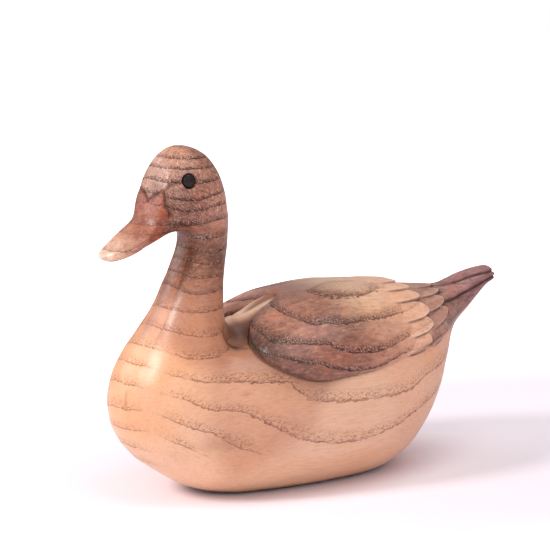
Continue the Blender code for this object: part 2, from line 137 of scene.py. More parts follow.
def sectionAt(number):
    # section values at fractional section numbers: cubic between two neighbours
    time = np.interp(number, np.arange(len(sectionTimes)), sectionTimes)
    i = np.clip(np.searchsorted(sectionTimes, time, side="right") - 1, 0, len(sectionTimes) - 2)
    gap = (sectionTimes[i + 1] - sectionTimes[i])[..., None]
    a = (sectionTimes[i + 1] - time)[..., None] / gap
    b = (time - sectionTimes[i])[..., None] / gap
    bend = ((a ** 3 - a) * sectionRates[i] + (b ** 3 - b) * sectionRates[i + 1]) * gap ** 2 / 6
    return a * sectionValues[i] + b * sectionValues[i + 1] + bend


def blockPoint(number, angle):
    # half ellipse behind and half ellipse in front of the widest point, each with its own fullness;
    # angle 0 is the back, pi the front, negative on the right side
    value = sectionAt(np.asarray(number, float))
    back, front = value[..., 0:2], value[..., 2:4]
    width, widest, fullBack, fullFront = (value[..., k] for k in (4, 5, 6, 7))
    turn = np.abs(angle)
    onBack = turn < np.pi / 2
    power = 2 / np.where(onBack, fullBack, fullFront)
    across = width * np.maximum(np.sin(turn), 0) ** power
    reach = np.abs(np.cos(turn)) ** power
    way = np.where(onBack, widest * (1 - reach), widest + (1 - widest) * reach)
    place = back + (front - back) * way[..., None]
    return np.stack([np.sign(angle) * across, place[..., 0], place[..., 1]], -1)


def gridSlopes(points):
    # change from row to row and from column to column, the columns closed round the block
    along = np.gradient(points, axis=0)
    around = (np.roll(points, -1, 1) - np.roll(points, 1, 1)) / 2
    return along, around


def gridNormals(points):
    # unit vector across both slopes of the grid
    along, around = gridSlopes(points)
    normal = np.cross(along, around)
    return normal / np.maximum(np.linalg.norm(normal, axis=-1, keepdims=True), 1e-12)


def spacedNumbers():
    # section numbers such that the fastest meridian moves by the wanted spacing from row to row
    number = np.linspace(0, len(sectionTimes) - 1, block["samples"])
    lines = [blockPoint(number, np.full(number.shape, math.radians(a))) for a in block["meridians"]]
    pace = np.linalg.norm(np.diff(np.stack(lines, 1), axis=0), axis=-1)
    pace = np.where(number[1:] > block["neckStart"], pace.max(1), pace[:, :-1].max(1))
    wanted = np.interp(number[1:], *zip(*block["rowSpacing"]))
    run = np.concatenate([[0], np.cumsum(pace / wanted)])
    return np.interp(np.linspace(0, run[-1], int(run[-1]) + 1), run, number)


def spacedAngles():
    # angles from -180 to 180 degrees, crowded by the wanted density, none of them on the middle line
    degrees = np.linspace(-180, 180, 3601)      # a tenth of a degree apart
    density = np.interp(np.abs(degrees), *zip(*block["columnDensity"]))
    run = np.concatenate([[0], np.cumsum((density[1:] + density[:-1]) / 2)])
    count = block["columns"] // 1
    return np.radians(np.interp((np.arange(count) + 0.5) / count * run[-1], run, degrees))


def softStep(value, low, high):
    # 0 below low, 1 above high, with a smooth S between them
    share = np.clip((value - low) / (high - low), 0, 1)
    return share * share * (3 - 2 * share)


def rounded(share):
    # quarter round from 0 to 1
    return np.sqrt(1 - (1 - np.clip(share, 0, 1)) ** 2)


def softened(knots, reach, at, samples=1200):
    # straight lines between knots, averaged over a short reach so that they turn smoothly
    places = np.linspace(knots[0][0] - reach, knots[-1][0] + reach, samples)
    values = np.interp(places, *zip(*knots))
    width = max(3, int(reach / (places[1] - places[0])) | 1)
    window = np.hanning(width + 2)[1:-1]
    padded = np.pad(values, width // 2, mode="edge")
    return np.interp(at, places, np.convolve(padded, window / window.sum(), mode="valid"))


# folded wings and feathers, in section numbers and degrees from the ridge of the back; heights over the block
wing = {
    "front": 12.88, "end": 6.7,
    "upper": [(6.7, -4.0), (10.2, -4.0), (10.5, 0.5), (10.9, 3.6), (11.4, 5.6), (11.95, 10.0), (12.45, 17.0),
              (12.75, 24.0), (12.88, 30.0)],
    "lower": [(6.7, 71.0), (7.6, 74.0), (8.4, 76.6), (9.1, 78.2), (10.4, 79.0), (10.7, 78.0), (11.0, 75.5),
              (11.3, 72.3), (11.55, 68.3), (11.85, 63.2), (12.15, 58.1), (12.5, 52.0), (12.75, 45.0),
              (12.88, 38.0)],
    "upperReach": 0.25, "lowerReach": 0.35,     # the edge lines turn smoothly over these section numbers
    "rise": [(6.7, 0.3), (7.6, 1.3), (9.0, 2.1), (10.5, 3.3), (12.0, 4.1), (12.88, 3.6)],
    "step": [(6.7, 0.0), (8.4, 0.1), (9.4, 0.75), (11.0, 1.0), (12.88, 1.0)],
    "lip": 0.6,                # height that the edge stands over the block
    # share by which the inner edge falls, growing to all of it over the parting
    "crease": 0.3, "parting": (10.2, 10.8),
    "roundLower": 0.22, "roundUpper": 0.3, "roundFront": 0.9,     # shares of the width; section numbers
    "wall": 0.4,               # the edge falls over this width
    # dark stain along the front edge: width, colour, share, darkness; it grows over section numbers and
    # degrees and lessens further down
    "frontDark": 8.0, "frontTone": (66, 46, 48), "frontShare": 0.8, "frontCrease": 0.3,
    "frontFrom": (10.4, 11.8), "frontUpper": (20, 34), "frontLower": (42, 60), "frontLowerLess": 0.75,
}
feathers = {
    # one row a feather, from the ridge outwards: upper and lower edge in degrees, root and tip as section
    # numbers, lift of the tip; the first one lies across the ridge
    "back": [(-14.0, 14.0, 7.1, 4.1, 0.95), (10.5, 31.5, 7.1, 4.3, 0.95), (28.5, 48.8, 7.1, 4.4, 0.9),
             (45.5, 64.0, 7.1, 4.45, 0.85), (59.5, 75.5, 7.2, 4.95, 0.7)],
    "front": [(-12.5, 12.5, 8.2, 6.3, 1.95), (9.5, 24.3, 8.2, 6.25, 1.95), (21.5, 36.4, 8.2, 6.15, 1.9),
              (36.0, 53.0, 8.2, 6.15, 1.8), (49.5, 64.0, 8.2, 6.25, 1.6), (60.5, 74.5, 8.2, 6.6, 1.2)],
    "tilt": 0.40, "rise": 0.8,                 # height from side to side, power of the rise from root to tip
    "waist": 0.10, "widest": 0.55,             # narrowing away from the widest place, a share of the length
    "tipRound": 0.30,          # share of the length that the tip rounds off
    "tipSide": 0.25,           # how far its apex sits to the lower side
    "tipMost": 0.995, "tipRounds": 4,          # limit at the sides, rounds in which length and width settle
    "backRoot": -0.5, "rootSunk": 0.4,         # height of the rear roots, depth of the front ones in the wing
    "wall": 0.34, "rimRound": 0.7, "rimFall": 0.22,      # the edge's width, then how the rim rounds off
    "spare": {"back": 0.3, "front": 0.5},      # section numbers worked out beyond the tips
    "rootSpare": 0.2,
}
# grooves: width, depth and painted shade along them, section number and degrees along each; a loose end runs
# out, the other runs off the edge
grooves = {
    "tailUpper": {
        "wide": 1.9, "deep": 1.2, "loose": (True, False), "dark": 0.75,
        "path": [(4.3, 2.5), (3.9, 8.0), (3.2, 17.0), (2.6, 26.0), (1.5, 41.0), (0.7, 51.0), (0.0, 58.0)]},
    "tailLower": {
        "wide": 1.9, "deep": 1.2, "loose": (True, False), "dark": 0.75,
        "path": [(4.6, 42.0), (4.2, 47.0), (3.4, 55.0), (2.7, 62.0), (1.8, 76.0), (0.9, 91.0), (0.0, 100.0)]},
    "billEdge": {
        "wide": 1.9, "deep": 0.8, "loose": (False, True), "dark": 0.68,
        "path": [(27.95, 0.0), (27.75, 10.0), (27.4, 26.0), (27.0, 41.0), (26.45, 56.0), (26.25, 66.0),
                 (26.1, 78.0), (25.85, 90.0), (25.5, 101.0), (25.2, 112.0), (25.0, 121.0)]},
    "mouth": {
        "wide": 1.3, "deep": 0.35, "loose": (True, True), "dark": 0.08,
        "path": [(31.6, 82.0), (30.9, 87.0), (30.0, 91.0), (29.0, 95.0), (28.0, 101.0), (27.0, 110.0),
                 (26.4, 116.0)]},
    "underFeathers": {
        "wide": 1.4, "deep": 0.4, "loose": (True, True), "dark": 0.6,
        "path": [(7.9, 75.0), (7.55, 74.1), (7.08, 73.1), (6.53, 72.1), (5.85, 72.6), (5.0, 76.1),
                 (4.6, 79.0)]},
    "brow": {
        "wide": 1.5, "deep": 0.45, "loose": (False, True), "dark": 0.62,
        "path": [(26.3, 62.0), (25.75, 66.0), (25.2, 70.5), (24.85, 73.0)]},
}
grooveForm = {
    "spare": 0.6,                        # section numbers worked out beyond either end
    "easeIn": 0.12, "easeOut": 0.86,     # shares of the path where loose ends start and stop running out
    "endWidth": 0.4,                     # share of the width left there
    # the painted shade line along a groove reaches this many widths
    "round": 0.02, "shadeReach": 0.55,    # roundness of the bottom, reach of the dark line in widths
}
eye = {
    # peg: place, radius, gap round it, its ends from the middle of the head, dome, lead and what it takes in
    "y": -64.4, "z": 131.7, "radius": 2.75, "gap": 0.3, "floor": 9.6, "rim": 12.9, "dome": 0.8,
    "lead": 0.35, "leadIn": 0.3, "footIn": 0.1, "sides": 64, "domeSteps": 12, "capRings": 3,
    # its seat in the skin: half width of the edge, floor above the end of the peg, painted shade in the gap
    # round the peg
    "seatEdge": 0.15, "seatFloor": 0.4, "seatShade": 0.9,
}
# section number and degrees along each, height (or depth, negative), reach either side: the ridge between the
# wings and the hollow beside it
swells = [
    {"path": [(10.35, -2.7), (10.9, -2.7), (11.5, -2.7), (12.1, -2.5), (12.8, 2.0)],
     "rise": 1.9, "reach": 3.4},
    {"path": [(14.3, 33.0), (13.7, 28.0), (13.1, 21.0)], "rise": -1.9, "reach": 4.2},
]
# section number and degrees along each, reach, strength: the dark knot at the foot of the neck with painted
# shade round it and in the hollow beside the ridge, two small spots and a grey patch low on the side
marks = [
    {"path": [(15.1, 41.0), (14.6, 38.5), (14.2, 37.0), (13.9, 37.0)], "reach": 2.8, "dark": 1.0},
    {"path": [(13.9, 24.0), (13.4, 20.0), (12.9, 16.0)], "reach": 4.2, "dark": 0.42},
    {"path": [(13.8, 38.0), (13.2, 38.5)], "reach": 1.2, "dark": 0.6},
    {"path": [(14.4, 34.0), (13.8, 31.0)], "reach": 3.0, "dark": 0.45},
    {"path": [(12.95, 78.2), (12.95, 79.0)], "reach": 0.8, "dark": 0.6},
    {"path": [(15.3, 161.0), (15.75, 162.0)], "reach": 0.5, "dark": 0.45},
    {"path": [(12.8, 115.0), (13.1, 118.0)], "reach": 3.6, "dark": 0.24},
]
# colour blended in by share: painted shade in the hollow beside the ridge, the dark wood on its far side, then
# the pale ridge itself, pale wood with painted light from above, first at the neck and then up between the
# wings
shades = [
    {"path": [(13.9, 17.0), (13.2, 16.0), (12.6, 14.0)], "reach": 4.5,
     "colour": (112, 72, 54), "share": 0.95},
    {"path": [(10.2, -12.0), (11.2, -11.5), (12.2, -11.0), (13.2, -12.0)], "reach": 3.6,
     "colour": (126, 80, 66), "share": 0.9},
    {"path": [(13.6, 1.0), (12.8, -0.5), (12.1, -2.0)], "reach": 3.2,
     "colour": (255, 214, 188), "share": 0.95},
    {"path": [(12.1, -2.6), (11.6, -3.8), (10.9, -5.2)], "reach": 2.0,
     "colour": (255, 220, 198), "share": 1.0},
]
marked = (9.6, 16.5)      # section numbers between which swells, marks and shades are worked out
# painted highlight down the front of the neck: section numbers of its ends and how softly they fade, degrees
# where its edge lies and from where it fades, painted shade beside it, where that begins, and its depth
neckHighlight = {
    "from": 17.1, "to": 20.3, "fromSoft": 0.5, "toSoft": 0.7, "edge": 151.0, "edgeSoft": 0.8, "fade": 158.0,
    "lighter": 0.30, "darker": 0.34, "darkBeside": (26, 2), "darkFrom": (18.2, 19.4), "darkDeep": 0.12,
}
# share of stain, 0 on bare wood; steps run from and to
stains = {
    "lean": 0.25, "height": (58, 84), "forward": (30, 44),      # neck and head: z + lean * y and -y in mm
    "wing": 0.85, "wingFade": 0.68, "towardTail": (2, 34), "wornTop": (76, 80),      # y and z in mm
    "back": 0.6, "front": 0.45, "bill": 0.9, "billEdge": (-0.08, 0.12),
    "tail": 0.8, "tailFrom": (-6.3, -5.6),      # section numbers, counted down
    "tailRound": 96.0, "tailRoundMore": 14.0, "tailMiddle": 4.0,      # degrees, degrees a section, section
}
# share of the bands of pores, which show more on stained wood than on bare wood
poreBands = {
    "body": 0.62, "headMore": 0.33, "neckLess": 0.12, "head": (20.6, 22.4), "neck": (15.5, 18.5),
    "wing": 1.0, "wornTop": (76, 81), "wornTopLess": 0.75, "towardTailLess": 0.25,
    "back": 0.25, "front": 0.25, "tail": 0.35, "bill": 0.35,
    "ridgeLess": 0.85, "ridgeHeight": (63, 67), "ridgeFrom": (-48, -42), "ridgeTo": (6, 12),      # z, y, -y
    "ridgeSide": (24, 30),
}
# lines along a form laid over another, in mm: the step that has the full line, then how far out the painted
# shade line at its foot and how far in the painted highlight on its edge lie, and how wide they are
edges = {"fullStep": 0.45, "footOut": 0.2, "footWide": 0.42, "rimIn": 0.35, "rimWide": 0.35}


def outlineDistance(field, spread):
    # how far inside a border in mm: the field over its own slope, with spread in mm per row and column
    slope = np.hypot(np.gradient(field, axis=0) / spread[0], np.gradient(field, axis=1) / spread[1])
    return field / np.maximum(slope, 1e-6)


def wingLayer(number, degrees, spread):
    # height of one folded wing and how far inside its outline each point lies
    upper = softened(wing["upper"], wing["upperReach"], number)
    lower = softened(wing["lower"], wing["lowerReach"], number)
    v = (degrees - upper) / (lower - upper)
    rise = np.interp(number, *zip(*wing["rise"]))
    step = np.interp(number, *zip(*wing["step"])) * wing["lip"]
    fall = wing["crease"] + (1 - wing["crease"]) * np.interp(number, wing["parting"], (0, 1))
    inside = rounded((1 - v) / wing["roundLower"]) * rounded((wing["front"] - number) / wing["roundFront"])
    inside = inside * (1 - fall * (1 - rounded(v / wing["roundUpper"])))
    distance = np.minimum(outlineDistance(lower - degrees, spread), outlineDistance(degrees - upper, spread))
    distance = np.minimum(distance, outlineDistance(wing["front"] - number, spread))
    distance = np.minimum(distance, outlineDistance(number - wing["end"], spread))
    return step + (rise - step) * inside, distance


def featherLayer(number, degrees, spread, row, under):
    # tongue over the form below it: u runs from root to tip, v from the upper to the lower edge
    upper, lower, root, tip, lift = row
    centre = upper < 0
    apex = 0 if centre else feathers["tipSide"]
    u = (number - root) / (tip - root)
    for _ in range(feathers["tipRounds"]):
        fromWidest = (np.clip(u, 0, 1) - feathers["widest"]) / (1 - feathers["widest"])
        half = (lower - upper) / 2 * (1 - feathers["waist"] * fromWidest ** 2)
        v = (degrees - (upper + lower) / 2) / half
        fromApex = np.where(v > apex, (v - apex) / (1 - apex), (apex - v) / (1 + apex))
        short = 1 - np.sqrt(1 - np.clip(fromApex, 0, feathers["tipMost"]) ** 2)
        u = (number - root) / ((tip - root) * (1 - feathers["tipRound"] * short))
    tilt = feathers["tilt"] * (v ** 2 - 0.5 if centre else v)
    height = under + (lift + tilt - under) * np.clip(u, 0, 1) ** feathers["rise"]
    distance = np.minimum(outlineDistance(1 - np.abs(v), spread), outlineDistance(1 - u, spread))
    distance = np.where(u < 0, -9.0, distance)      # well outside, behind the root
    return height - feathers["rimFall"] * (1 - rounded(distance / feathers["rimRound"])), distance


def layOn(height, layer, distance, wall):
    # the higher of both, the new layer falling away over the width of its wall
    mask = softStep(distance, -wall / 2, wall / 2)
    return height + mask * np.maximum(layer - height, 0), mask


def pathDistance(points, path):
    # shortest way from each point to a polyline and the share of the polyline where it ends
    best = np.full(points.shape[:-1], 1e9)
    share = np.zeros(points.shape[:-1])
    count = len(path) - 1
    for i in range(count):
        along = path[i + 1] - path[i]
        t = np.clip(((points - path[i]) @ along) / (along @ along), 0, 1)
        away = np.linalg.norm(points - path[i] - t[..., None] * along, axis=-1)
        nearer = away < best
        best = np.where(nearer, away, best)
        share = np.where(nearer, (i + t) / count, share)
    return best, share


def rowsBetween(number, low, high):
    # the grid's rows whose section number lies between two values
    inside = np.nonzero((number[:, 0] > low) & (number[:, 0] < high))[0]
    return slice(inside[0], inside[-1] + 1)


def pathOnSkin(path, side, steps):
    # points on the skin along a path, this many for each knot, on one side of the duck
    knots = np.array(path)
    fine = np.linspace(0, len(knots) - 1, steps * len(knots))
    number = np.interp(fine, np.arange(len(knots)), knots[:, 0])
    angle = np.radians(np.interp(fine, np.arange(len(knots)), knots[:, 1]))
    return skin(number, side * angle)


def grooveDepths(points, number):
    # V grooves with soft shoulders: depth falls in proportion to the distance from the path, with a painted
    # shade line
    depth = np.zeros(number.shape)
    dark = np.zeros(number.shape)
    form = grooveForm
    for groove in grooves.values():
        ends = [knot[0] for knot in groove["path"]]
        rows = rowsBetween(number, min(ends) - form["spare"], max(ends) + form["spare"])
        for side in (1, -1):
            away, share = pathDistance(points[rows], pathOnSkin(groove["path"], side, 8))
            ease = np.ones(away.shape)
            if groove["loose"][0]:
                ease = ease * softStep(share, 0, form["easeIn"])
            if groove["loose"][1]:
                ease = ease * (1 - softStep(share, form["easeOut"], 1))
            half = groove["wide"] / 2 * (form["endWidth"] + (1 - form["endWidth"]) * ease)
            cut = np.sqrt(form["round"] + np.clip(1 - away / half, 0, 1) ** 2) - math.sqrt(form["round"])
            depth[rows] = np.maximum(depth[rows], groove["deep"] * ease * cut)
            # painted shade in the groove
            shade = groove["dark"] * ease * np.exp(-(away / (form["shadeReach"] * groove["wide"])) ** 2)
            dark[rows] = np.maximum(dark[rows], shade)
    return depth, dark


def nearPath(points, path, reach):
    # e to the minus squared distance from a path over its reach, on both sides of the duck
    near = np.zeros(points.shape[:-1])
    for side in (1, -1):
        away, _ = pathDistance(points, pathOnSkin(path, side, 6))
        near = np.maximum(near, np.exp(-(away / reach) ** 2))
    return near


def waves(points, reach, seed, count=14):
    # sum of sine waves in random directions, about -1 to 1
    rng = np.random.default_rng(seed)
    ways = rng.normal(size=(count, 3))
    ways *= (2 * np.pi / reach * rng.uniform(0.6, 1.5, count) / np.linalg.norm(ways, axis=1))[:, None]
    shifts = rng.uniform(0, 2 * np.pi, count)
    total = np.zeros(points.shape[:-1])
    for way, shift in zip(ways, shifts):
        total += np.sin(points @ way + shift)
    return total / math.sqrt(count / 2) / 2


def bareNormal(number, angle, step=0.02, turn=0.012):
    # unit vector across the block's slopes, from small steps either way
    last = len(sectionTimes) - 1
    ahead = blockPoint(np.clip(number + step, 0, last), angle)
    behind = blockPoint(np.clip(number - step, 0, last), angle)
    around = blockPoint(number, angle + turn) - blockPoint(number, angle - turn)
    normal = np.cross(ahead - behind, around)
    return normal / np.maximum(np.linalg.norm(normal, axis=-1, keepdims=True), 1e-12)


def skin(number, angle):
    # the block with its hollows: pushed in by depth times e to the minus squared distance over the reach
    point = blockPoint(number, angle)
    push = np.zeros(point.shape[:-1])
    for at, degrees, alongReach, roundReach, depth in block["hollows"]:
        for side in (1, -1):
            middle = blockPoint(at, side * math.radians(degrees))
            away = (point - middle) / np.array([roundReach, alongReach, roundReach])
            push += depth * np.exp(-np.sum(away ** 2, axis=-1))
    return point - bareNormal(number, angle) * push[..., None]


# stain and light wood, as sRGB colours at places in the side view (y, z in mm), blended by nearness
tones = {
    "body": [(-71, 138, (240, 192, 176)), (-74, 129, (100, 50, 30)), (-57, 143, (148, 82, 58)),
             (-60, 122, (112, 58, 38)), (-46, 120, (240, 176, 152)), (-50, 99, (56, 28, 22)),
             (-62, 100, (130, 76, 58)), (-62, 86, (192, 136, 108)), (-48, 80, (206, 146, 118)),
             (-88, 45, (236, 180, 142)), (-80, 16, (246, 206, 178)), (-45, 35, (216, 162, 130)),
             (0, 28, (236, 190, 158)), (36, 42, (236, 182, 148)), (-28, 6, (236, 196, 168)),
             (50, 62, (230, 174, 144)), (-32, 70, (160, 112, 88)), (-22, 76, (170, 120, 98))],
    "wing": [(-34, 62, (84, 54, 52)), (-31, 75, (206, 150, 130)), (-20, 56, (142, 88, 70)),
             (0, 56, (166, 108, 88)), (18, 54, (214, 158, 132)), (13, 67, (190, 132, 110)),
             (34, 54, (236, 180, 152)), (-18, 69, (144, 92, 76)), (-22, 80, (240, 184, 172)),
             (-1, 72, (100, 56, 46)), (-12, 74, (112, 66, 54)), (12, 86, (255, 220, 192)),
             (20, 85, (255, 220, 192)), (14, 83, (255, 220, 192)), (0, 90, (255, 212, 190)),
             (26, 86, (244, 190, 166)), (32, 68, (232, 176, 150))],
    "tail": [(60, 74, (168, 124, 114)), (90, 80, (160, 114, 116)), (74, 50, (74, 40, 28)),
             (60, 34, (98, 58, 44))],
    "front": [(46, 80, (250, 200, 172)), (46, 60, (248, 194, 164)), (44, 40, (236, 178, 150))],
    "back": [(62, 76, (200, 152, 134)), (60, 58, (190, 142, 126)), (56, 40, (196, 146, 126))],
    # the near-white colour at the bill's tip is a painted highlight
    "bill": [(-80, 112, (168, 80, 42)), (-88, 107, (198, 114, 78)), (-96, 103, (255, 250, 240)),
             (-78, 126, (142, 60, 30)), (-74, 119, (108, 44, 20))],
}
toneReach = 13.0


def linearColour(colour):
    # sRGB 0..255 to light values
    value = np.asarray(colour, float) / 255
    return np.where(value <= 0.04045, value / 12.92, ((value + 0.055) / 1.055) ** 2.4)


def toneAt(name, points):
    # colours of one group weighted by e to the minus squared distance in the side view
    total = np.zeros(points.shape[:-1])
    colour = np.zeros(points.shape)
    for y, z, value in tones[name]:
        away = ((points[..., 1] - y) ** 2 + (points[..., 2] - z) ** 2) / toneReach ** 2
        weight = np.exp(-away) + 1e-9 / (1 + away)
        total += weight
        colour += weight[..., None] * linearColour(value)
    return colour / total[..., None]


# growth rings round a pith below the block: distance from it, in mm, along the body for each year's line
rings = {
    "pith": -15.0,
    "lines": [
        [(-92, 39), (-85, 40.5), (-80, 42), (-69, 40), (-50, 35), (-20, 28), (20, 24), (60, 24)],
        [(-92, 47), (-87, 51), (-83, 51), (-70, 48), (-62, 44.7), (-55, 43), (-40, 39), (0, 33), (60, 33)],
        [(-92, 56), (-89, 58.3), (-84.5, 59.8), (-80.6, 59), (-73.5, 57.5), (-63, 56.5), (-58.4, 53.9),
         (-53.4, 52.5), (-43.8, 50.2), (-20, 45), (0, 43), (30, 44), (60, 44)],
        [(-92, 65), (-88, 67.7), (-86.4, 66.4), (-81, 67.2), (-74, 67.3), (-68.6, 65.4), (-65, 64.5),
         (-54, 65.5), (-50, 65.1), (-41, 62.1), (-31, 57.9), (-26, 57), (-12, 54.2), (2, 54.1), (16, 56.2),
         (33, 58.3), (43, 58.6), (60, 58)],
        [(-92, 72), (-84, 74.5), (-80, 74.2), (-74, 73.7), (-57, 73), (-45, 74.3), (-32.3, 76.6),
         (-30, 74), (-26, 71.8), (-15, 71.4), (-1.5, 70.8), (13, 70.2), (26, 68.9), (36, 70.5), (56, 68.3),
         (75, 68)],
        [(-92, 79), (-81, 80.5), (-76, 81.1), (-70, 79.8), (-56, 80.6), (-41, 82.2), (-38.8, 83.7),
         (-28, 84.3), (-21.5, 84.3), (-14, 82.4), (-6, 81.6), (4, 81), (12.6, 82), (21, 82.7), (28, 81.6),
         (45, 80), (75, 79)],
        [(-90, 88), (-80, 88), (-65, 87), (-50, 86.5), (-36, 86.2), (-34, 86.8), (-29, 87.4), (-22, 88.7),
         (-15, 88.9), (-10.6, 87.4), (-5.7, 86.6), (2, 86), (10, 85.8), (30, 86), (60, 86)],
        [(-80, 95), (-65, 94.9), (-51, 95.1), (-40, 94), (-24, 92.5), (-16.6, 92.3), (-10, 93.0),
         (7.6, 92.9), (22, 92.2), (29, 91.4), (60, 91)],
        [(-69, 102.2), (-62.6, 101.1), (-50, 102.2), (-40, 99), (-20, 97.2), (-8, 96.8), (12, 96.6),
         (32, 96.4), (60, 96)],
        [(-66, 109.1), (-61, 107.4), (-45, 108)],
        [(-66, 114.7), (-57, 112.9), (-46, 112.8)],
        [(-66, 119.8), (-57, 117.5), (-46, 118.1)],
        [(-67, 126.4), (-61, 123.6), (-56, 122.2), (-51, 123.4), (-46, 124.6)],
        [(-69.5, 129.8), (-62.8, 128.5), (-57, 129.5), (-52, 130.9), (-44, 131.1)],
        [(-73, 137.6), (-69, 135.8), (-63.6, 135.1), (-58, 135.6), (-52.5, 136.7)],
        [(-74.7, 141.3), (-70.7, 140.4), (-65.7, 139.6), (-60, 139.9), (-54.6, 140.9), (-48.4, 141.6)],
        [(-76, 147), (-62, 146.2), (-48, 146.8)],
        [(-76, 152), (-62, 151.6)],
        [(-76, 155.8), (-62, 155.2)],
        [(-76, 160), (-62, 159.5)]],
    "lineReach": 4.0,                    # the lines turn smoothly over this length
    # beyond the first and last line this many years go on at these widths; no year is narrower than the least
    "firstGap": 9.0, "yearsBefore": 5, "lastGap": 4.5, "yearsAfter": 3, "leastGap": 0.5,
    # on the ridge one line stands higher and closes into a loop
    "loopLine": 8, "loopRise": 1.8, "loopAngle": 4.5,
    # the right side's lines are shifted by this much, in slow waves, from this far off the middle on
    "otherSide": 2.2, "otherFrom": (2.0, 16.0), "otherReach": 60.0, "otherSeed": 5,
    # year numbers from, to; they fade from here to there along the body, down to this share
    "fades": [((7.0, 8.0), (-54, -38), 0.12), ((6.0, 7.0), (-76, -60), 0.14),
              ((-1.0, 6.0), (-88, -70), 0.10)],
    "fadeEdge": 0.15,
    # no lines show at these degrees off the front of the breast, round its middle; below this height, forward
    # of this place
    "gapTurn": 24.0, "gapReach": 9.0, "gapLess": 0.8, "gapMiddle": -44,
    "gapBelow": (60, 76), "gapAhead": (50, 66),
}


def ringNumber(points):
    # year number and share of the year, from the distance to the pith between neighbouring lines
    x, y, z = points[..., 0], points[..., 1], points[..., 2]
    distance = np.hypot(x, z - rings["pith"])
    turn = np.degrees(np.arctan2(np.abs(x), z - rings["pith"]))
    other = softStep(-x, *rings["otherFrom"]) * rings["otherSide"]
    distance = distance + other * (1 + waves(points, rings["otherReach"], rings["otherSeed"]))
    lines = [softened(line, rings["lineReach"], y) for line in rings["lines"]]
    lines[rings["loopLine"]] += rings["loopRise"] * np.exp(-(turn / rings["loopAngle"]) ** 2)
    before = [lines[0] - rings["firstGap"] * k for k in range(rings["yearsBefore"], 0, -1)]
    after = [lines[-1] + rings["lastGap"] * k for k in range(1, rings["yearsAfter"] + 1)]
    lines = before + lines + after
    years = np.zeros(distance.shape)
    for inner, outer in zip(lines[:-1], lines[1:]):
        years += np.clip((distance - inner) / np.maximum(outer - inner, rings["leastGap"]), 0, 1)
    return years


def yearFade(points, years):
    # the inner years fade out toward the tail, and all of them on the turn of the breast
    x, y, z = points[..., 0], points[..., 1], points[..., 2]
    turn = np.degrees(np.arctan2(np.abs(x), rings["gapMiddle"] - y))
    ahead = (1 - softStep(z, *rings["gapBelow"])) * softStep(-y, *rings["gapAhead"])
    gap = np.exp(-((turn - rings["gapTurn"]) / rings["gapReach"]) ** 2) * ahead
    share = np.ones(y.shape)
    edge = rings["fadeEdge"]
    for (first, last), (start, end), least in rings["fades"]:
        within = softStep(years, first - edge, first) * (1 - softStep(years, last - edge, last))
        share -= within * (1 - least) * softStep(y, start, end)
    return share * (1 - rings["gapLess"] * gap)


def layForm(duck, rows, layer, distance, wall, group, stained, edgeHighlight):
    # a form over what is there: its mask blends in its colour, stain and bands; the painted shade line at its
    # foot and the painted highlight on its edge are e to the minus squared distance over their width
    before = duck["height"][rows].copy()
    duck["height"][rows], mask = layOn(before, layer, distance, wall)
    over = np.clip((layer - before) / edges["fullStep"], 0, 1)
    mask = mask * (layer > before)
    base, tone, stain, bands = (duck[key][rows] for key in ("base", "tone", "stain", "bands"))
    tone += mask[..., None] * (toneAt(group, base) - tone)
    stain += mask * (stained - stain)
    bands += mask * (poreBands[group] - bands)
    if group == "wing":
        top = softStep(base[..., 2], *poreBands["wornTop"])
        bands -= poreBands["wornTopLess"] * mask * top
        tail = softStep(base[..., 1], *stains["towardTail"])
        bands -= poreBands["towardTailLess"] * mask * tail * (1 - top)
    # painted shade along the foot of the form, and a painted highlight along its edge (feathers only)
    foot = over * np.exp(-((distance + wall / 2 + edges["footOut"]) / edges["footWide"]) ** 2)
    edge = edgeHighlight * over * np.exp(-((distance - wall / 2 - edges["rimIn"]) / edges["rimWide"]) ** 2)
    edge = edge * (distance > -wall / 2)
    duck["crease"][rows] = np.maximum(duck["crease"][rows] * (1 - mask), foot)
    duck["rim"][rows] = np.maximum(duck["rim"][rows] * (1 - mask), edge)


def bandShares(base, number):
    # share of the pore bands on the bare block: more on the head, less on the neck and on the pale ridge
    x, y, z = base[..., 0], base[..., 1], base[..., 2]
    onHead = softStep(number, *poreBands["head"])
    onNeck = softStep(number, *poreBands["neck"]) * (1 - onHead)
    bands = poreBands["body"] + poreBands["headMore"] * onHead - poreBands["neckLess"] * onNeck
    onRidge = softStep(z, *poreBands["ridgeHeight"]) * softStep(y, *poreBands["ridgeFrom"])
    onRidge = onRidge * softStep(-y, *poreBands["ridgeTo"])
    return bands * (1 - poreBands["ridgeLess"] * onRidge * (1 - softStep(np.abs(x), *poreBands["ridgeSide"])))


def markBody(duck):
    # swells, dark marks and colour blends, some of them painted shade and light, each by its nearness to a
    # path
    rows = rowsBetween(duck["number"], *marked)
    base, height, crease, tone = (duck[key][rows] for key in ("base", "height", "crease", "tone"))
    for swell in swells:
        height += swell["rise"] * nearPath(base, swell["path"], swell["reach"])
    for mark in marks:
        # the knot and spots, and painted shade round the knot and in the hollow
        crease[:] = np.maximum(crease, mark["dark"] * nearPath(base, mark["path"], mark["reach"]))
    for shade in shades:
        near = nearPath(base, shade["path"], shade["reach"])
        # painted shade in the hollow, the dark wood, and the pale ridge with painted light, blended into the
        # tone
        tone += (shade["share"] * near)[..., None] * (linearColour(shade["colour"]) - tone)


def blendGroup(duck, group, share):
    # colour, stain and pore bands of a group, blended in by share
    duck["tone"] += share[..., None] * (toneAt(group, duck["base"]) - duck["tone"])
    duck["stain"] += share * (stains[group] - duck["stain"])
    duck["bands"] += share * (poreBands[group] - duck["bands"])


def stainTail(duck):
    # all round behind the feathers, further down the sides toward the end
    number, degrees = duck["number"], duck["degrees"]
    more = stains["tailRoundMore"]
    around = stains["tailRound"] - np.abs(degrees) + more * (stains["tailMiddle"] - number)
    blendGroup(duck, "tail", softStep(-number, *stains["tailFrom"]) * softStep(around, 0, more))


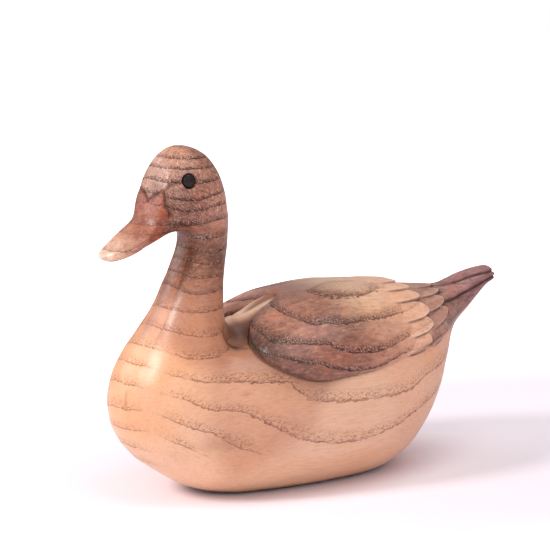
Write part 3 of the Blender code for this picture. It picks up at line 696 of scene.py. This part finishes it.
def layWings(duck):
    # both wings with the dark stain along their front edge
    rows = rowsBetween(duck["number"], wing["end"] - 0.1, wing["front"] + 0.5)
    base, number, tone, crease = (duck[key][rows] for key in ("base", "number", "tone", "crease"))
    spread = [values[rows] for values in duck["spread"]]
    for side in (1, -1):
        degrees = side * duck["degrees"][rows]
        layer, distance = wingLayer(number, degrees, spread)
        faded = np.maximum(softStep(base[..., 1], *stains["towardTail"]),
                           softStep(base[..., 2], *stains["wornTop"]))
        stained = stains["wing"] - stains["wingFade"] * faded
        layForm(duck, rows, layer, distance, wing["wall"], "wing", stained, 0.0)
        front = np.exp(-(np.clip(distance, 0, None) / wing["frontDark"]) ** 2)
        front = front * softStep(number, *wing["frontFrom"]) * softStep(degrees, *wing["frontUpper"])
        front = front * (1 - wing["frontLowerLess"] * softStep(degrees, *wing["frontLower"]))
        front = front * (distance > -0.1)
        tone += (wing["frontShare"] * front)[..., None] * (linearColour(wing["frontTone"]) - tone)
        crease[:] = np.maximum(crease, wing["frontCrease"] * front)


def layFeathers(duck):
    # the rear row, then the front row over it, each from the outermost feather to the ridge
    underWing = duck["height"].copy()
    for name in ("back", "front"):
        for row in reversed(feathers[name]):
            upper, _, root, tip, _ = row
            rows = rowsBetween(duck["number"], tip - feathers["spare"][name], root + feathers["rootSpare"])
            spread = [values[rows] for values in duck["spread"]]
            under = feathers["backRoot"] if name == "back" else underWing[rows] - feathers["rootSunk"]
            for side in (1, -1) if upper > 0 else (1,):
                degrees = side * duck["degrees"][rows]
                layer, distance = featherLayer(duck["number"][rows], degrees, spread, row, under)
                layForm(duck, rows, layer, distance, feathers["wall"], name, stains[name], 1.0)


def paintNeckHighlight(duck):
    # painted highlight down the front of the neck, with a crisp edge, and painted shade beside it, carved a
    # little lower
    strip, number = neckHighlight, duck["number"]
    turned = np.abs(duck["degrees"])
    length = softStep(number, strip["from"], strip["from"] + strip["fromSoft"]) \
        * (1 - softStep(number, strip["to"] - strip["toSoft"], strip["to"]))
    within = softStep(turned, strip["edge"] - strip["edgeSoft"], strip["edge"] + strip["edgeSoft"])
    light = length * within * (1 - softStep(turned, strip["fade"], 180))
    shade = length * softStep(turned, *(strip["edge"] - away for away in strip["darkBeside"])) \
        * (1 - within) * softStep(number, *strip["darkFrom"])
    # painted highlight on the strip and painted shade beside it, in the tone
    duck["tone"] *= (1 + strip["lighter"] * light - strip["darker"] * shade)[..., None]
    duck["height"] -= strip["darkDeep"] * shade


def stainBill(duck):
    # the bill is what lies forward of its edge groove
    billPath = np.array(grooves["billEdge"]["path"])
    billStart = np.interp(np.abs(duck["degrees"]), billPath[:, 1], billPath[:, 0])
    blendGroup(duck, "bill", softStep(duck["number"] - billStart, *stains["billEdge"]))


def carveDuck():
    # height field over the block: wings, then the rear row of feathers, then the front row, less the grooves
    number = spacedNumbers()[:, None]
    angle = spacedAngles()[None, :]
    base = skin(number, angle)
    y, z = base[..., 1], base[..., 2]
    shape = y.shape
    number = np.broadcast_to(number, shape)
    duck = {
        "base": base, "number": number, "degrees": np.degrees(np.broadcast_to(angle, shape)),
        "spread": [np.linalg.norm(slope, axis=-1) for slope in gridSlopes(base)],
        # crease: darkness of the knots and spots and of painted shade; rim: painted highlight
        "height": np.zeros(shape), "crease": np.zeros(shape), "rim": np.zeros(shape),
        "tone": toneAt("body", base), "bands": bandShares(base, number),
        "stain": softStep(z + stains["lean"] * y, *stains["height"]) * softStep(-y, *stains["forward"]),
    }
    markBody(duck)
    stainTail(duck)
    layWings(duck)
    layFeathers(duck)
    paintNeckHighlight(duck)
    stainBill(duck)
    depth, dark = grooveDepths(base, number)
    # painted shade of the grooves joins the crease darkness
    duck["crease"] = np.maximum(duck["crease"], dark)
    uneven = block["uneven"] * (1 + waves(base, block["unevenReach"], block["unevenSeed"]))
    height = duck["height"] - depth - uneven
    return base + gridNormals(base) * height[..., None], duck


def smoothFloor(z, width):
    # z kept above 0, bending over within the width
    share = np.clip(0.5 + 0.5 * z / width, 0, 1)
    return z * share + width * share * (1 - share) / 2


def pressEyes(points):
    # points within the drilled seat go down to its floor
    across = np.hypot(points[..., 1] - eye["y"], points[..., 2] - eye["z"])
    reach, edge = eye["radius"] + eye["gap"], eye["seatEdge"]
    inSeat = 1 - softStep(across, reach - edge, reach + edge)
    x = points[..., 0]
    floor = np.sign(x) * np.minimum(np.abs(x), eye["floor"] + eye["seatFloor"])
    points[..., 0] = x + inSeat * (floor - x)
    return inSeat


def closedGrid(points, capRings):
    # quads of a grid closed round, with a shrinking cap at either end and a fan of triangles in its middle
    columns = points.shape[1]
    front, rear = points[0].mean(0), points[-1].mean(0)
    steps = np.linspace(0, 1, capRings + 1)[1:-1][:, None, None]
    capFront = (points[0] + (front - points[0]) * steps)[::-1]
    capRear = points[-1] + (rear - points[-1]) * steps
    grid = np.concatenate([capFront, points, capRear])
    rows = len(grid)
    i = np.arange(rows - 1)[:, None] * columns
    j = np.arange(columns)[None, :]
    k = (j + 1) % columns
    quads = np.stack([i + j, i + columns + j, i + columns + k, i + k], -1).reshape(-1, 4)
    total = rows * columns
    j, k = j[0], k[0]
    frontFan = np.stack([np.full(columns, total), j, k], -1)
    rearFan = np.stack([np.full(columns, total + 1), total - columns + k, total - columns + j], -1)
    vertices = np.concatenate([grid.reshape(-1, 3), [front, rear]])
    return vertices, quads, np.concatenate([frontFan, rearFan])


def spreadOver(values, capRings):
    # the end rows' values carried on over both caps
    first = np.repeat(values[:1], capRings - 1, axis=0)
    last = np.repeat(values[-1:], capRings - 1, axis=0)
    grid = np.concatenate([first, values, last])
    flat = grid.reshape((-1,) + values.shape[2:])
    return np.concatenate([flat, flat[:1], flat[-1:]])


def buildMesh(name, vertices, quads, triangles):
    # mesh from whole arrays of corners, given in millimetres
    mesh = bpy.data.meshes.new(name)
    mesh.vertices.add(len(vertices))
    mesh.vertices.foreach_set("co", (vertices * mm).astype(np.float32).ravel())
    loops = np.concatenate([quads.ravel(), triangles.ravel()]).astype(np.int32)
    mesh.loops.add(len(loops))
    mesh.loops.foreach_set("vertex_index", loops)
    starts = np.concatenate([np.arange(len(quads)) * 4, 4 * len(quads) + 3 * np.arange(len(triangles))])
    mesh.polygons.add(len(starts))
    mesh.polygons.foreach_set("loop_start", starts.astype(np.int32))
    mesh.update(calc_edges=True)
    mesh.validate()
    mesh.shade_smooth()
    return mesh


def addPiece(name, mesh, material, node):
    # object at the origin that takes the place of one solid
    piece = bpy.data.objects.new(name, mesh)
    bpy.context.scene.collection.objects.link(piece)
    mesh.materials.append(material)
    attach(piece, "root")
    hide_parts(node)


def addFloats(mesh, name, values):
    # one number a vertex
    made = mesh.attributes.new(name, "FLOAT", "POINT")
    made.data.foreach_set("value", values.astype(np.float32).ravel())


def addColours(mesh, name, values):
    # one colour a vertex
    made = mesh.attributes.new(name, "FLOAT_COLOR", "POINT")
    full = np.concatenate([values, np.ones((len(values), 1))], 1)
    made.data.foreach_set("color", full.astype(np.float32).ravel())


def lighterMesh(mesh, wanted):
    # fewer faces where the surface is flat
    totals = np.zeros(len(mesh.polygons), np.int32)
    mesh.polygons.foreach_get("loop_total", totals)
    count = int(np.sum(totals - 2))
    holder = bpy.data.objects.new("duckGrid", mesh)
    bpy.context.scene.collection.objects.link(holder)
    if count > wanted:
        fewer = holder.modifiers.new("fewer", "DECIMATE")
        fewer.ratio = wanted / count
    result = bpy.data.meshes.new_from_object(holder.evaluated_get(bpy.context.evaluated_depsgraph_get()))
    bpy.data.objects.remove(holder)
    bpy.data.meshes.remove(mesh)
    result.name = "duck"
    result.shade_smooth()
    return result


def eyeMesh(side):
    # peg turned about the X axis: flat floor, straight wall, small lead and a shallow dome
    dome = np.linspace(0, 1, eye["domeSteps"])[:-1] * np.pi / 2
    reach = eye["radius"] - eye["lead"] * eye["leadIn"]
    across = np.concatenate([[eye["radius"] - eye["footIn"]], [eye["radius"]], reach * np.cos(dome)])
    out = np.concatenate([[eye["floor"]], [eye["rim"] - eye["lead"]],
                          eye["rim"] + eye["dome"] * np.sin(dome)])
    turn = np.arange(eye["sides"]) / eye["sides"] * 2 * np.pi
    x = np.broadcast_to(side * out[:, None], (len(out), len(turn)))
    y = eye["y"] + across[:, None] * np.cos(side * turn)
    z = eye["z"] + across[:, None] * np.sin(side * turn)
    vertices, quads, fans = closedGrid(np.stack([x, y, z], -1), eye["capRings"])
    return buildMesh("eye", vertices, quads[:, ::-1], fans[:, ::-1])


class Wire:
    # one output of a material's nodes; sums, products and steps of wires add further nodes
    def __init__(self, tree, socket):
        self.tree = tree
        self.socket = socket

    def node(self, kind, settings, values, output=0):
        # any node: its settings, what its inputs hold or are joined to, and the output wanted
        made = self.tree.nodes.new(kind)
        for key, value in settings.items():
            setattr(made, key, value)
        for key, value in values.items():
            if isinstance(value, Wire):
                self.tree.links.new(value.socket, made.inputs[key])
            else:
                made.inputs[key].default_value = value
        return Wire(self.tree, made.outputs[output])

    def maths(self, operation, *values):
        # one Math node
        return self.node("ShaderNodeMath", {"operation": operation}, dict(enumerate(values)))

    def __add__(self, other):
        return self.maths("ADD", self, other)

    __radd__ = __add__

    def __sub__(self, other):
        return self.maths("SUBTRACT", self, other)

    def __rsub__(self, other):
        return self.maths("SUBTRACT", other, self)

    def __mul__(self, other):
        return self.maths("MULTIPLY", self, other)

    __rmul__ = __mul__

    def __truediv__(self, other):
        return self.maths("DIVIDE", self, other)

    def share(self, low, high):
        # 0 at low, 1 at high, smooth between
        return self.node("ShaderNodeMapRange", {"interpolation_type": "SMOOTHSTEP"},
                         {"Value": self, "From Min": low, "From Max": high})

    def stretched(self, scale):
        # vector times a scale for each axis
        return self.node("ShaderNodeVectorMath", {"operation": "MULTIPLY"}, {0: self, 1: scale})

    def noise(self, scale, detail=2.0, rough=0.5):
        # fractal noise at this place
        return self.node("ShaderNodeTexNoise", {},
                         {"Vector": self, "Scale": scale, "Detail": detail, "Roughness": rough})

    def mixed(self, amount, other, way="MIX"):
        # colour mixed with another by an amount
        return self.node("ShaderNodeMix", {"data_type": "RGBA", "blend_type": way},
                         {0: amount, 6: self, 7: other}, output=2)


def newMaterial(name):
    # empty node tree with one Principled shader on the output
    material = bpy.data.materials.new(name)
    material.use_nodes = True
    tree = material.node_tree
    tree.nodes.clear()
    shader = tree.nodes.new("ShaderNodeBsdfPrincipled")
    output = tree.nodes.new("ShaderNodeOutputMaterial")
    tree.links.new(shader.outputs[0], output.inputs["Surface"])
    return material, tree, shader


def attribute(tree, name, output="Fac"):
    # what the mesh holds under a name
    node = tree.nodes.new("ShaderNodeAttribute")
    node.attribute_name = name
    return Wire(tree, node.outputs[output])


def objectPlace(tree):
    # place in the object's own axes
    node = tree.nodes.new("ShaderNodeTexCoord")
    return Wire(tree, node.outputs["Object"])


wood = {
    # noises by name: changes in a metre along x, y and z (y runs with the grain), detail, roughness
    "noises": {"slow": ((90.0, 45.0, 90.0), 4.0, 0.6), "jitter": ((900.0, 500.0, 900.0), 1.0, 0.5),
               "fine": ((1300.0, 110.0, 1300.0), 4.0, 0.65), "broken": ((260.0, 110.0, 260.0), 2.0, 0.5),
               "breadth": ((30.0, 16.0, 30.0), 1.0, 0.5), "patches": ((34.0, 14.0, 34.0), 3.0, 0.6),
               "blots": ((150.0, 90.0, 150.0), 4.0, 0.62), "mottle": ((620.0, 260.0, 620.0), 4.0, 0.7)},
    # shares of a year by which the years wander and their lines are frayed
    "wander": 0.20, "fray": 0.16,
    # year line: end and start in shares of a year, colour, strength and what stain adds; where it is broken,
    # what is left there, and the share of bands that shows it fully
    "line": 0.085, "lineStart": 0.975, "lineDark": (0.28, 0.14, 0.09, 1), "lineStrength": 0.68,
    "lineStained": 0.25, "lineBroken": (0.32, 0.55), "lineLeft": 0.3, "lineBands": 0.62,
    # early wood above the line: breadth (varied, least, less on stain), where it fades, colours, strengths
    "breadthVaried": 0.9, "breadthLeast": 0.45, "breadthStained": 0.34, "earlyFade": (0.02, 0.672),
    "earlyDark": (0.84, 0.68, 0.56, 1), "earlyStrength": 0.34, "earlyMore": 0.6,
    "bandDark": (0.46, 0.35, 0.34, 1), "bandStrength": 0.80,
    # strokes: how often across and along the grain, detail, roughness, the slope by which they rise or fall
    # toward the tail, from the body's to the wing's as the stain grows
    "strokeAcross": 2300.0, "strokeAlong": 820.0, "strokeDetail": 2.0, "strokeRough": 0.6,
    "bodyLean": -0.35, "wingLean": 1.0, "leanStain": (0.4, 0.8),
    # strokes between the bands on stained wood, more of them on the head, from this height on in metres
    "speckle": 0.16, "headSpeckle": 0.34, "headHeight": (0.095, 0.115),
    # dark pores and light flecks: step of the stroke's height, shares in the early wood and between, strengths
    "poreStep": (0.02, 0.12), "poreEarly": 1.9, "poreEarlyStained": 0.4, "poreDark": (0.26, 0.13, 0.085, 1),
    "poreStrength": 0.95, "poreLeast": 0.15,
    # the light flecks are partly pale filler in the pores and partly painted glints off their edges
    "fleckStep": (0.04, 0.13), "fleckEarly": 1.3, "fleckBetween": 1.5, "fleckLight": (0.60, 0.44, 0.33, 1),
    "fleckStrength": 0.55, "fleckBare": 0.3,
    # layers over the tone: noise, where it starts and is full (turned round for its low places), strength on
    # bare wood, what stain adds, colour and blend
    "layers": [("patches", 0.40, 0.60, 0.5, 0.0, (0.97, 0.84, 0.64, 1), "MULTIPLY"),
               ("blots", 0.44, 0.64, 0.08, 0.34, (0.62, 0.46, 0.40, 1), "MULTIPLY"),
               ("blots", 0.52, 0.36, 0.05, 0.24, (0.95, 0.50, 0.28, 1), "SOFT_LIGHT"),
               ("mottle", 0.50, 0.68, 0.10, 0.55, (0.46, 0.32, 0.27, 1), "MULTIPLY"),
               ("mottle", 0.50, 0.34, 0.06, 0.42, (0.38, 0.20, 0.10, 1), "SCREEN"),
               ("fine", 0.40, 0.70, 0.40, 0.0, (0.76, 0.66, 0.58, 1), "MULTIPLY"),
               ("fine", 0.44, 0.30, 0.0, 0.5, (0.40, 0.28, 0.22, 1), "SCREEN")],
    # painted highlight on feather edges, and painted shade that also darkens the knots and spots
    "paintedRimHighlight": (1.0, 0.86, 0.74, 1), "paintedRimStrength": 0.22,
    "shadeAndKnotDark": (0.12, 0.065, 0.05, 1), "shadeAndKnotStrength": 0.88,
    # roughness at its least, and what fine noise, pores and creases add; varnish left outside the creases
    "roughness": 0.29, "fineRough": 0.16, "poreRough": 0.3, "creaseRough": 0.4,
    "coat": 0.16, "coatRoughness": 0.22,
    # bump: strength, height in metres, shares of the noises, depth of pores, what stain adds, depth of lines
    "bump": 0.5, "bumpHeight": 0.0005, "bumpShares": {"fine": 0.3, "blots": 0.35, "mottle": 0.3},
    "poreDeep": 0.22, "poreDeepStained": 0.2, "lineDeep": 0.4,
}


def yearLook(place, grain, ring, stain, bands):
    # dark line at the turn of each year and the early wood beyond it, which fades out as the year goes on
    wander = (grain["slow"] - 0.5) * wood["wander"] + (grain["jitter"] - 0.5) * wood["fray"]
    year = place.maths("FRACT", ring + wander)
    line = place.maths("MAXIMUM", 1 - year.share(0.0, wood["line"]), year.share(wood["lineStart"], 1.0))
    left = wood["lineLeft"]
    whole = grain["broken"].share(*wood["lineBroken"]) * (1 - left) + left
    line = line * whole * bands.share(0.0, wood["lineBands"])
    breadth = grain["breadth"] * wood["breadthVaried"] + wood["breadthLeast"] - stain * wood["breadthStained"]
    early = (1 - (year / breadth).share(*wood["earlyFade"])) * bands
    return line, early


def strokeLook(place, early, stain, bands):
    # short strokes of noise along a leaning grain: the high ones are dark pores, the low ones light flecks,
    # partly pale filler and partly painted glints off the pore edges
    axes = place.node("ShaderNodeSeparateXYZ", {}, {"Vector": place})
    x, y, z = (Wire(place.tree, axes.socket.node.outputs[name]) for name in "XYZ")
    lean = stain.share(*wood["leanStain"]) * bands * (wood["wingLean"] - wood["bodyLean"]) + wood["bodyLean"]
    across, along = wood["strokeAcross"], wood["strokeAlong"]
    leant = place.node("ShaderNodeCombineXYZ", {},
                       {"X": x * across, "Y": y * along, "Z": (z + y * lean) * across})
    stroke = leant.noise(1.0, wood["strokeDetail"], wood["strokeRough"]) - 0.5
    between = stain * bands * (z.share(*wood["headHeight"]) * wood["headSpeckle"] + wood["speckle"])
    poreShare = early * (wood["poreEarly"] - stain * wood["poreEarlyStained"]) + between
    fleckShare = early * wood["fleckEarly"] + between * wood["fleckBetween"]
    pore = stroke.share(*wood["poreStep"]) * poreShare.share(0.0, 1.0)
    fleck = (0 - stroke).share(*wood["fleckStep"]) * fleckShare.share(0.0, 1.0)
    return pore, fleck


def woodMaterial():
    # tone of the place, darkened at year lines, in pores, at knots and by painted shade in creases, brightened
    # on flecks and by painted highlights on feather edges
    material, tree, shader = newMaterial("carvedWood")
    place = objectPlace(tree)
    ring, crease, rim, stain, bands = (attribute(tree, name)
                                       for name in ("ring", "crease", "rim", "stain", "bands"))
    grain = {name: place.stretched(scale).noise(1.0, detail, rough)
             for name, (scale, detail, rough) in wood["noises"].items()}
    line, early = yearLook(place, grain, ring, stain, bands)
    pore, fleck = strokeLook(place, early, stain, bands)
    colour = attribute(tree, "tone", "Color")
    for name, start, full, bare, stained, shade, blend in wood["layers"]:
        colour = colour.mixed(grain[name].share(start, full) * (stain * stained + bare), shade, blend)
    least, bare = wood["poreLeast"], wood["fleckBare"]
    for amount, shade, blend in (
            (early * (stain * wood["earlyMore"] + wood["earlyStrength"]), wood["earlyDark"], "MULTIPLY"),
            (early * stain * wood["bandStrength"], wood["bandDark"], "MULTIPLY"),
            (fleck * (stain * (1 - bare) + bare) * wood["fleckStrength"], wood["fleckLight"], "SCREEN"),
            (line * (stain * wood["lineStained"] + wood["lineStrength"]), wood["lineDark"], "MULTIPLY"),
            (pore * wood["poreStrength"] * (bands * (1 - least) + least), wood["poreDark"], "MULTIPLY"),
            (pore * early * stain, wood["poreDark"], "MULTIPLY"),
            # painted highlight on feather edges; painted shade in creases, grooves, the eye's seat and along
            # the table, with the knots
            (rim * wood["paintedRimStrength"], wood["paintedRimHighlight"], "SCREEN"),
            (crease * wood["shadeAndKnotStrength"], wood["shadeAndKnotDark"], "MULTIPLY")):
        colour = colour.mixed(amount, shade, blend)
    rough = grain["fine"] * wood["fineRough"] + pore * wood["poreRough"] + crease * wood["creaseRough"]
    height = sum(grain[name] * share for name, share in wood["bumpShares"].items())
    height = height - pore * (stain * wood["poreDeepStained"] + wood["poreDeep"]) - line * wood["lineDeep"]
    form = place.node("ShaderNodeBump", {},
                      {"Strength": wood["bump"], "Distance": wood["bumpHeight"], "Height": height})
    for name, wire in (("Base Color", colour), ("Roughness", rough + wood["roughness"]),
                       ("Coat Weight", (1 - crease) * wood["coat"]), ("Normal", form)):
        tree.links.new(wire.socket, shader.inputs[name])
    shader.inputs["Coat Roughness"].default_value = wood["coatRoughness"]
    return material


eyeFinish = {"spots": 700.0, "dark": (0.010, 0.006, 0.006, 1), "light": (0.022, 0.014, 0.014, 1),
             "roughness": 0.22, "specular": 0.3}


def eyeMaterial():
    # dark glass-like eye, its colour mixed by a fine noise
    material, tree, shader = newMaterial("darkEye")
    spots = objectPlace(tree).noise(eyeFinish["spots"])
    colour = spots.node("ShaderNodeMix", {"data_type": "RGBA"},
                        {0: spots, 6: eyeFinish["dark"], 7: eyeFinish["light"]}, output=2)
    tree.links.new(colour.socket, shader.inputs["Base Color"])
    shader.inputs["Roughness"].default_value = eyeFinish["roughness"]
    shader.inputs["Specular IOR Level"].default_value = eyeFinish["specular"]
    return material


def buildDuck():
    # the carved surface, set in the CAD model's box, with what its material reads at each point
    points, looks = carveDuck()
    inSeat = pressEyes(points)
    points[..., 2] = smoothFloor(points[..., 2], block["footRound"])
    low, high = (np.array(side) / mm for side in cadBox)
    points = np.clip(points, low, high)
    # painted contact shadow along the table and painted shade in the eye's seat, into the crease darkness
    contactShadow = block["footShadow"] * np.exp(-(points[..., 2] / block["footShadowReach"]) ** 2)
    for dark in (inSeat * eye["seatShade"], np.minimum(contactShadow, block["footShadowMost"])):
        looks["crease"] = np.maximum(looks["crease"], dark)
    looks["ring"] = ringNumber(points)
    looks["bands"] = looks["bands"] * yearFade(points, looks["ring"])
    vertices, quads, fans = closedGrid(points, block["endRings"])
    mesh = buildMesh("duck", vertices, quads, fans)
    for name in ("ring", "crease", "rim", "stain", "bands"):
        addFloats(mesh, name, spreadOver(looks[name], block["endRings"]))
    addColours(mesh, "tone", spreadOver(looks["tone"], block["endRings"]))
    print("duck grid:", points.shape[:2], "triangles", 2 * len(quads) + len(fans))
    mesh = lighterMesh(mesh, block["trianglesKept"])
    print("duck mesh:", len(mesh.polygons), "faces,", [a.name for a in mesh.attributes])
    return mesh


woodLook = woodMaterial()
eyeLook = eyeMaterial()
addPiece("carvedDuck", buildDuck(), woodLook, "carved_duck")
for side, name in ((1, "eye_left"), (-1, "eye_right")):
    addPiece("eyeDome" + name[4:].title(), eyeMesh(side), eyeLook, name)
print("eyes built")

studio = {
    # camera: what it looks at, degrees round from the bill's side, height and distance in mm
    "aim": (0.0, -16.2, 91.2), "azimuth": 58.0, "height": 214.0, "reach": 720.0,
    "lens": 113.56, "sensor": 36.0,
    # name: degrees to the right of the camera, degrees up, metres away, size, level, colour
    "lamps": {"key": (-60, 36, 1.1, 0.26, 0.57, (1.0, 0.98, 0.95)),
              "left": (-104, 20, 1.3, 0.9, 0.31, (1.0, 0.98, 0.96)),
              "front": (-4, 18, 1.3, 1.0, 0.14, (1.0, 0.98, 0.96)),
              "fill": (46, 22, 1.3, 1.2, 0.13, (1.0, 0.97, 0.98)),
              "top": (60, 70, 1.2, 0.9, 0.34, (1.0, 0.99, 0.98))},
    "around": (1.0, 0.95, 0.97), "aroundLevel": 0.36,
    "floor": (0.92, 0.85, 0.92), "floorRough": 0.9, "floorSize": 8.0,
    # the paper glows faintly beyond the near distance and fully white beyond the far one, in metres from the
    # duck, where x counts this many times; no glow inside the near distance leaves a painted shadow round the
    # duck
    "floorLift": 0.12, "floorShadowReach": (0.055, 0.10), "floorFade": (0.24, 0.52), "floorOval": (2.4, 1.0, 1.0),
}


def headed(azimuth, rise=0.0):
    # unit vector toward an azimuth, counted from -Y to +X, and upwards by the rise
    turn, up = math.radians(azimuth), math.radians(rise)
    return Vector((math.sin(turn) * math.cos(up), -math.cos(turn) * math.cos(up), math.sin(up)))


def buildCamera(aim):
    # camera at the azimuth and its own height, turned to the aim
    place = aim + headed(studio["azimuth"]) * studio["reach"] * mm
    place.z = studio["height"] * mm
    cameraData = bpy.data.cameras.new("camera")
    cameraData.lens = studio["lens"]
    cameraData.sensor_width = studio["sensor"]
    cameraData.sensor_fit = "HORIZONTAL"
    cameraData.clip_end = 50.0
    camera = bpy.data.objects.new("camera", cameraData)
    camera.location = place
    camera.rotation_euler = (place - aim).to_track_quat("Z", "Y").to_euler()
    bpy.context.scene.collection.objects.link(camera)
    bpy.context.scene.camera = camera


def buildLamps(aim):
    # soft discs: power is level times pi squared times distance squared, so the level holds at any distance
    for name, (right, up, away, size, level, colour) in studio["lamps"].items():
        way = headed(studio["azimuth"] + right, up)
        lampData = bpy.data.lights.new(name, "AREA")
        lampData.shape = "DISK"
        lampData.size = size
        lampData.energy = level * math.pi ** 2 * away ** 2
        lampData.color = colour
        lamp = bpy.data.objects.new(name, lampData)
        lamp.location = aim + way * away
        lamp.rotation_euler = way.to_track_quat("Z", "Y").to_euler()
        bpy.context.scene.collection.objects.link(lamp)


def cameraSees(tree):
    # 1 where the camera looks straight at it, 0 for light that bounces
    path = tree.nodes.new("ShaderNodeLightPath")
    return Wire(tree, path.outputs["Is Camera Ray"])


def buildSurroundings():
    # white for the camera, a fainter even light for the duck
    world = bpy.data.worlds.new("surroundings")
    bpy.context.scene.world = world
    world.use_nodes = True
    tree = world.node_tree
    tree.nodes.clear()
    seen = cameraSees(tree)
    colour = seen.node("ShaderNodeMix", {"data_type": "RGBA"},
                       {0: seen, 6: (*studio["around"], 1), 7: (1, 1, 1, 1)}, output=2)
    level = seen * (1 - studio["aroundLevel"]) + studio["aroundLevel"]
    sky = seen.node("ShaderNodeBackground", {}, {"Color": colour, "Strength": level})
    output = tree.nodes.new("ShaderNodeOutputWorld")
    tree.links.new(sky.socket, output.inputs["Surface"])


def buildFloor():
    # pale paper that glows for the camera and turns white away from the duck, with a painted shadow close
    # round it
    half = studio["floorSize"] / 2
    mesh = bpy.data.meshes.new("floor")
    corners = [(-half, -half, 0), (half, -half, 0), (half, half, 0), (-half, half, 0)]
    mesh.from_pydata(corners, [], [(0, 1, 2, 3)])
    material, tree, shader = newMaterial("floorPaper")
    shader.inputs["Base Color"].default_value = (*studio["floor"], 1)
    shader.inputs["Roughness"].default_value = studio["floorRough"]
    shader.inputs["Specular IOR Level"].default_value = 0.0
    place = objectPlace(tree).stretched(studio["floorOval"])
    away = place.node("ShaderNodeVectorMath", {"operation": "LENGTH"}, {0: place}, output="Value")
    # no glow close round the duck: a painted shadow
    lift = away.share(*studio["floorShadowReach"]) * studio["floorLift"]
    far = away.share(*studio["floorFade"])
    seen = cameraSees(tree) * (far * (1 - lift) + lift)
    glow = seen.node("ShaderNodeCombineColor", {}, {"Red": seen, "Green": seen, "Blue": seen})
    tree.links.new(glow.socket, shader.inputs["Emission Color"])
    shader.inputs["Emission Strength"].default_value = 1.0
    mesh.materials.append(material)
    floor = bpy.data.objects.new("floor", mesh)
    bpy.context.scene.collection.objects.link(floor)


studioAim = Vector(studio["aim"]) * mm
buildCamera(studioAim)
buildLamps(studioAim)
buildSurroundings()
buildFloor()
bpy.context.scene.view_settings.view_transform = "Standard"
print("studio built")
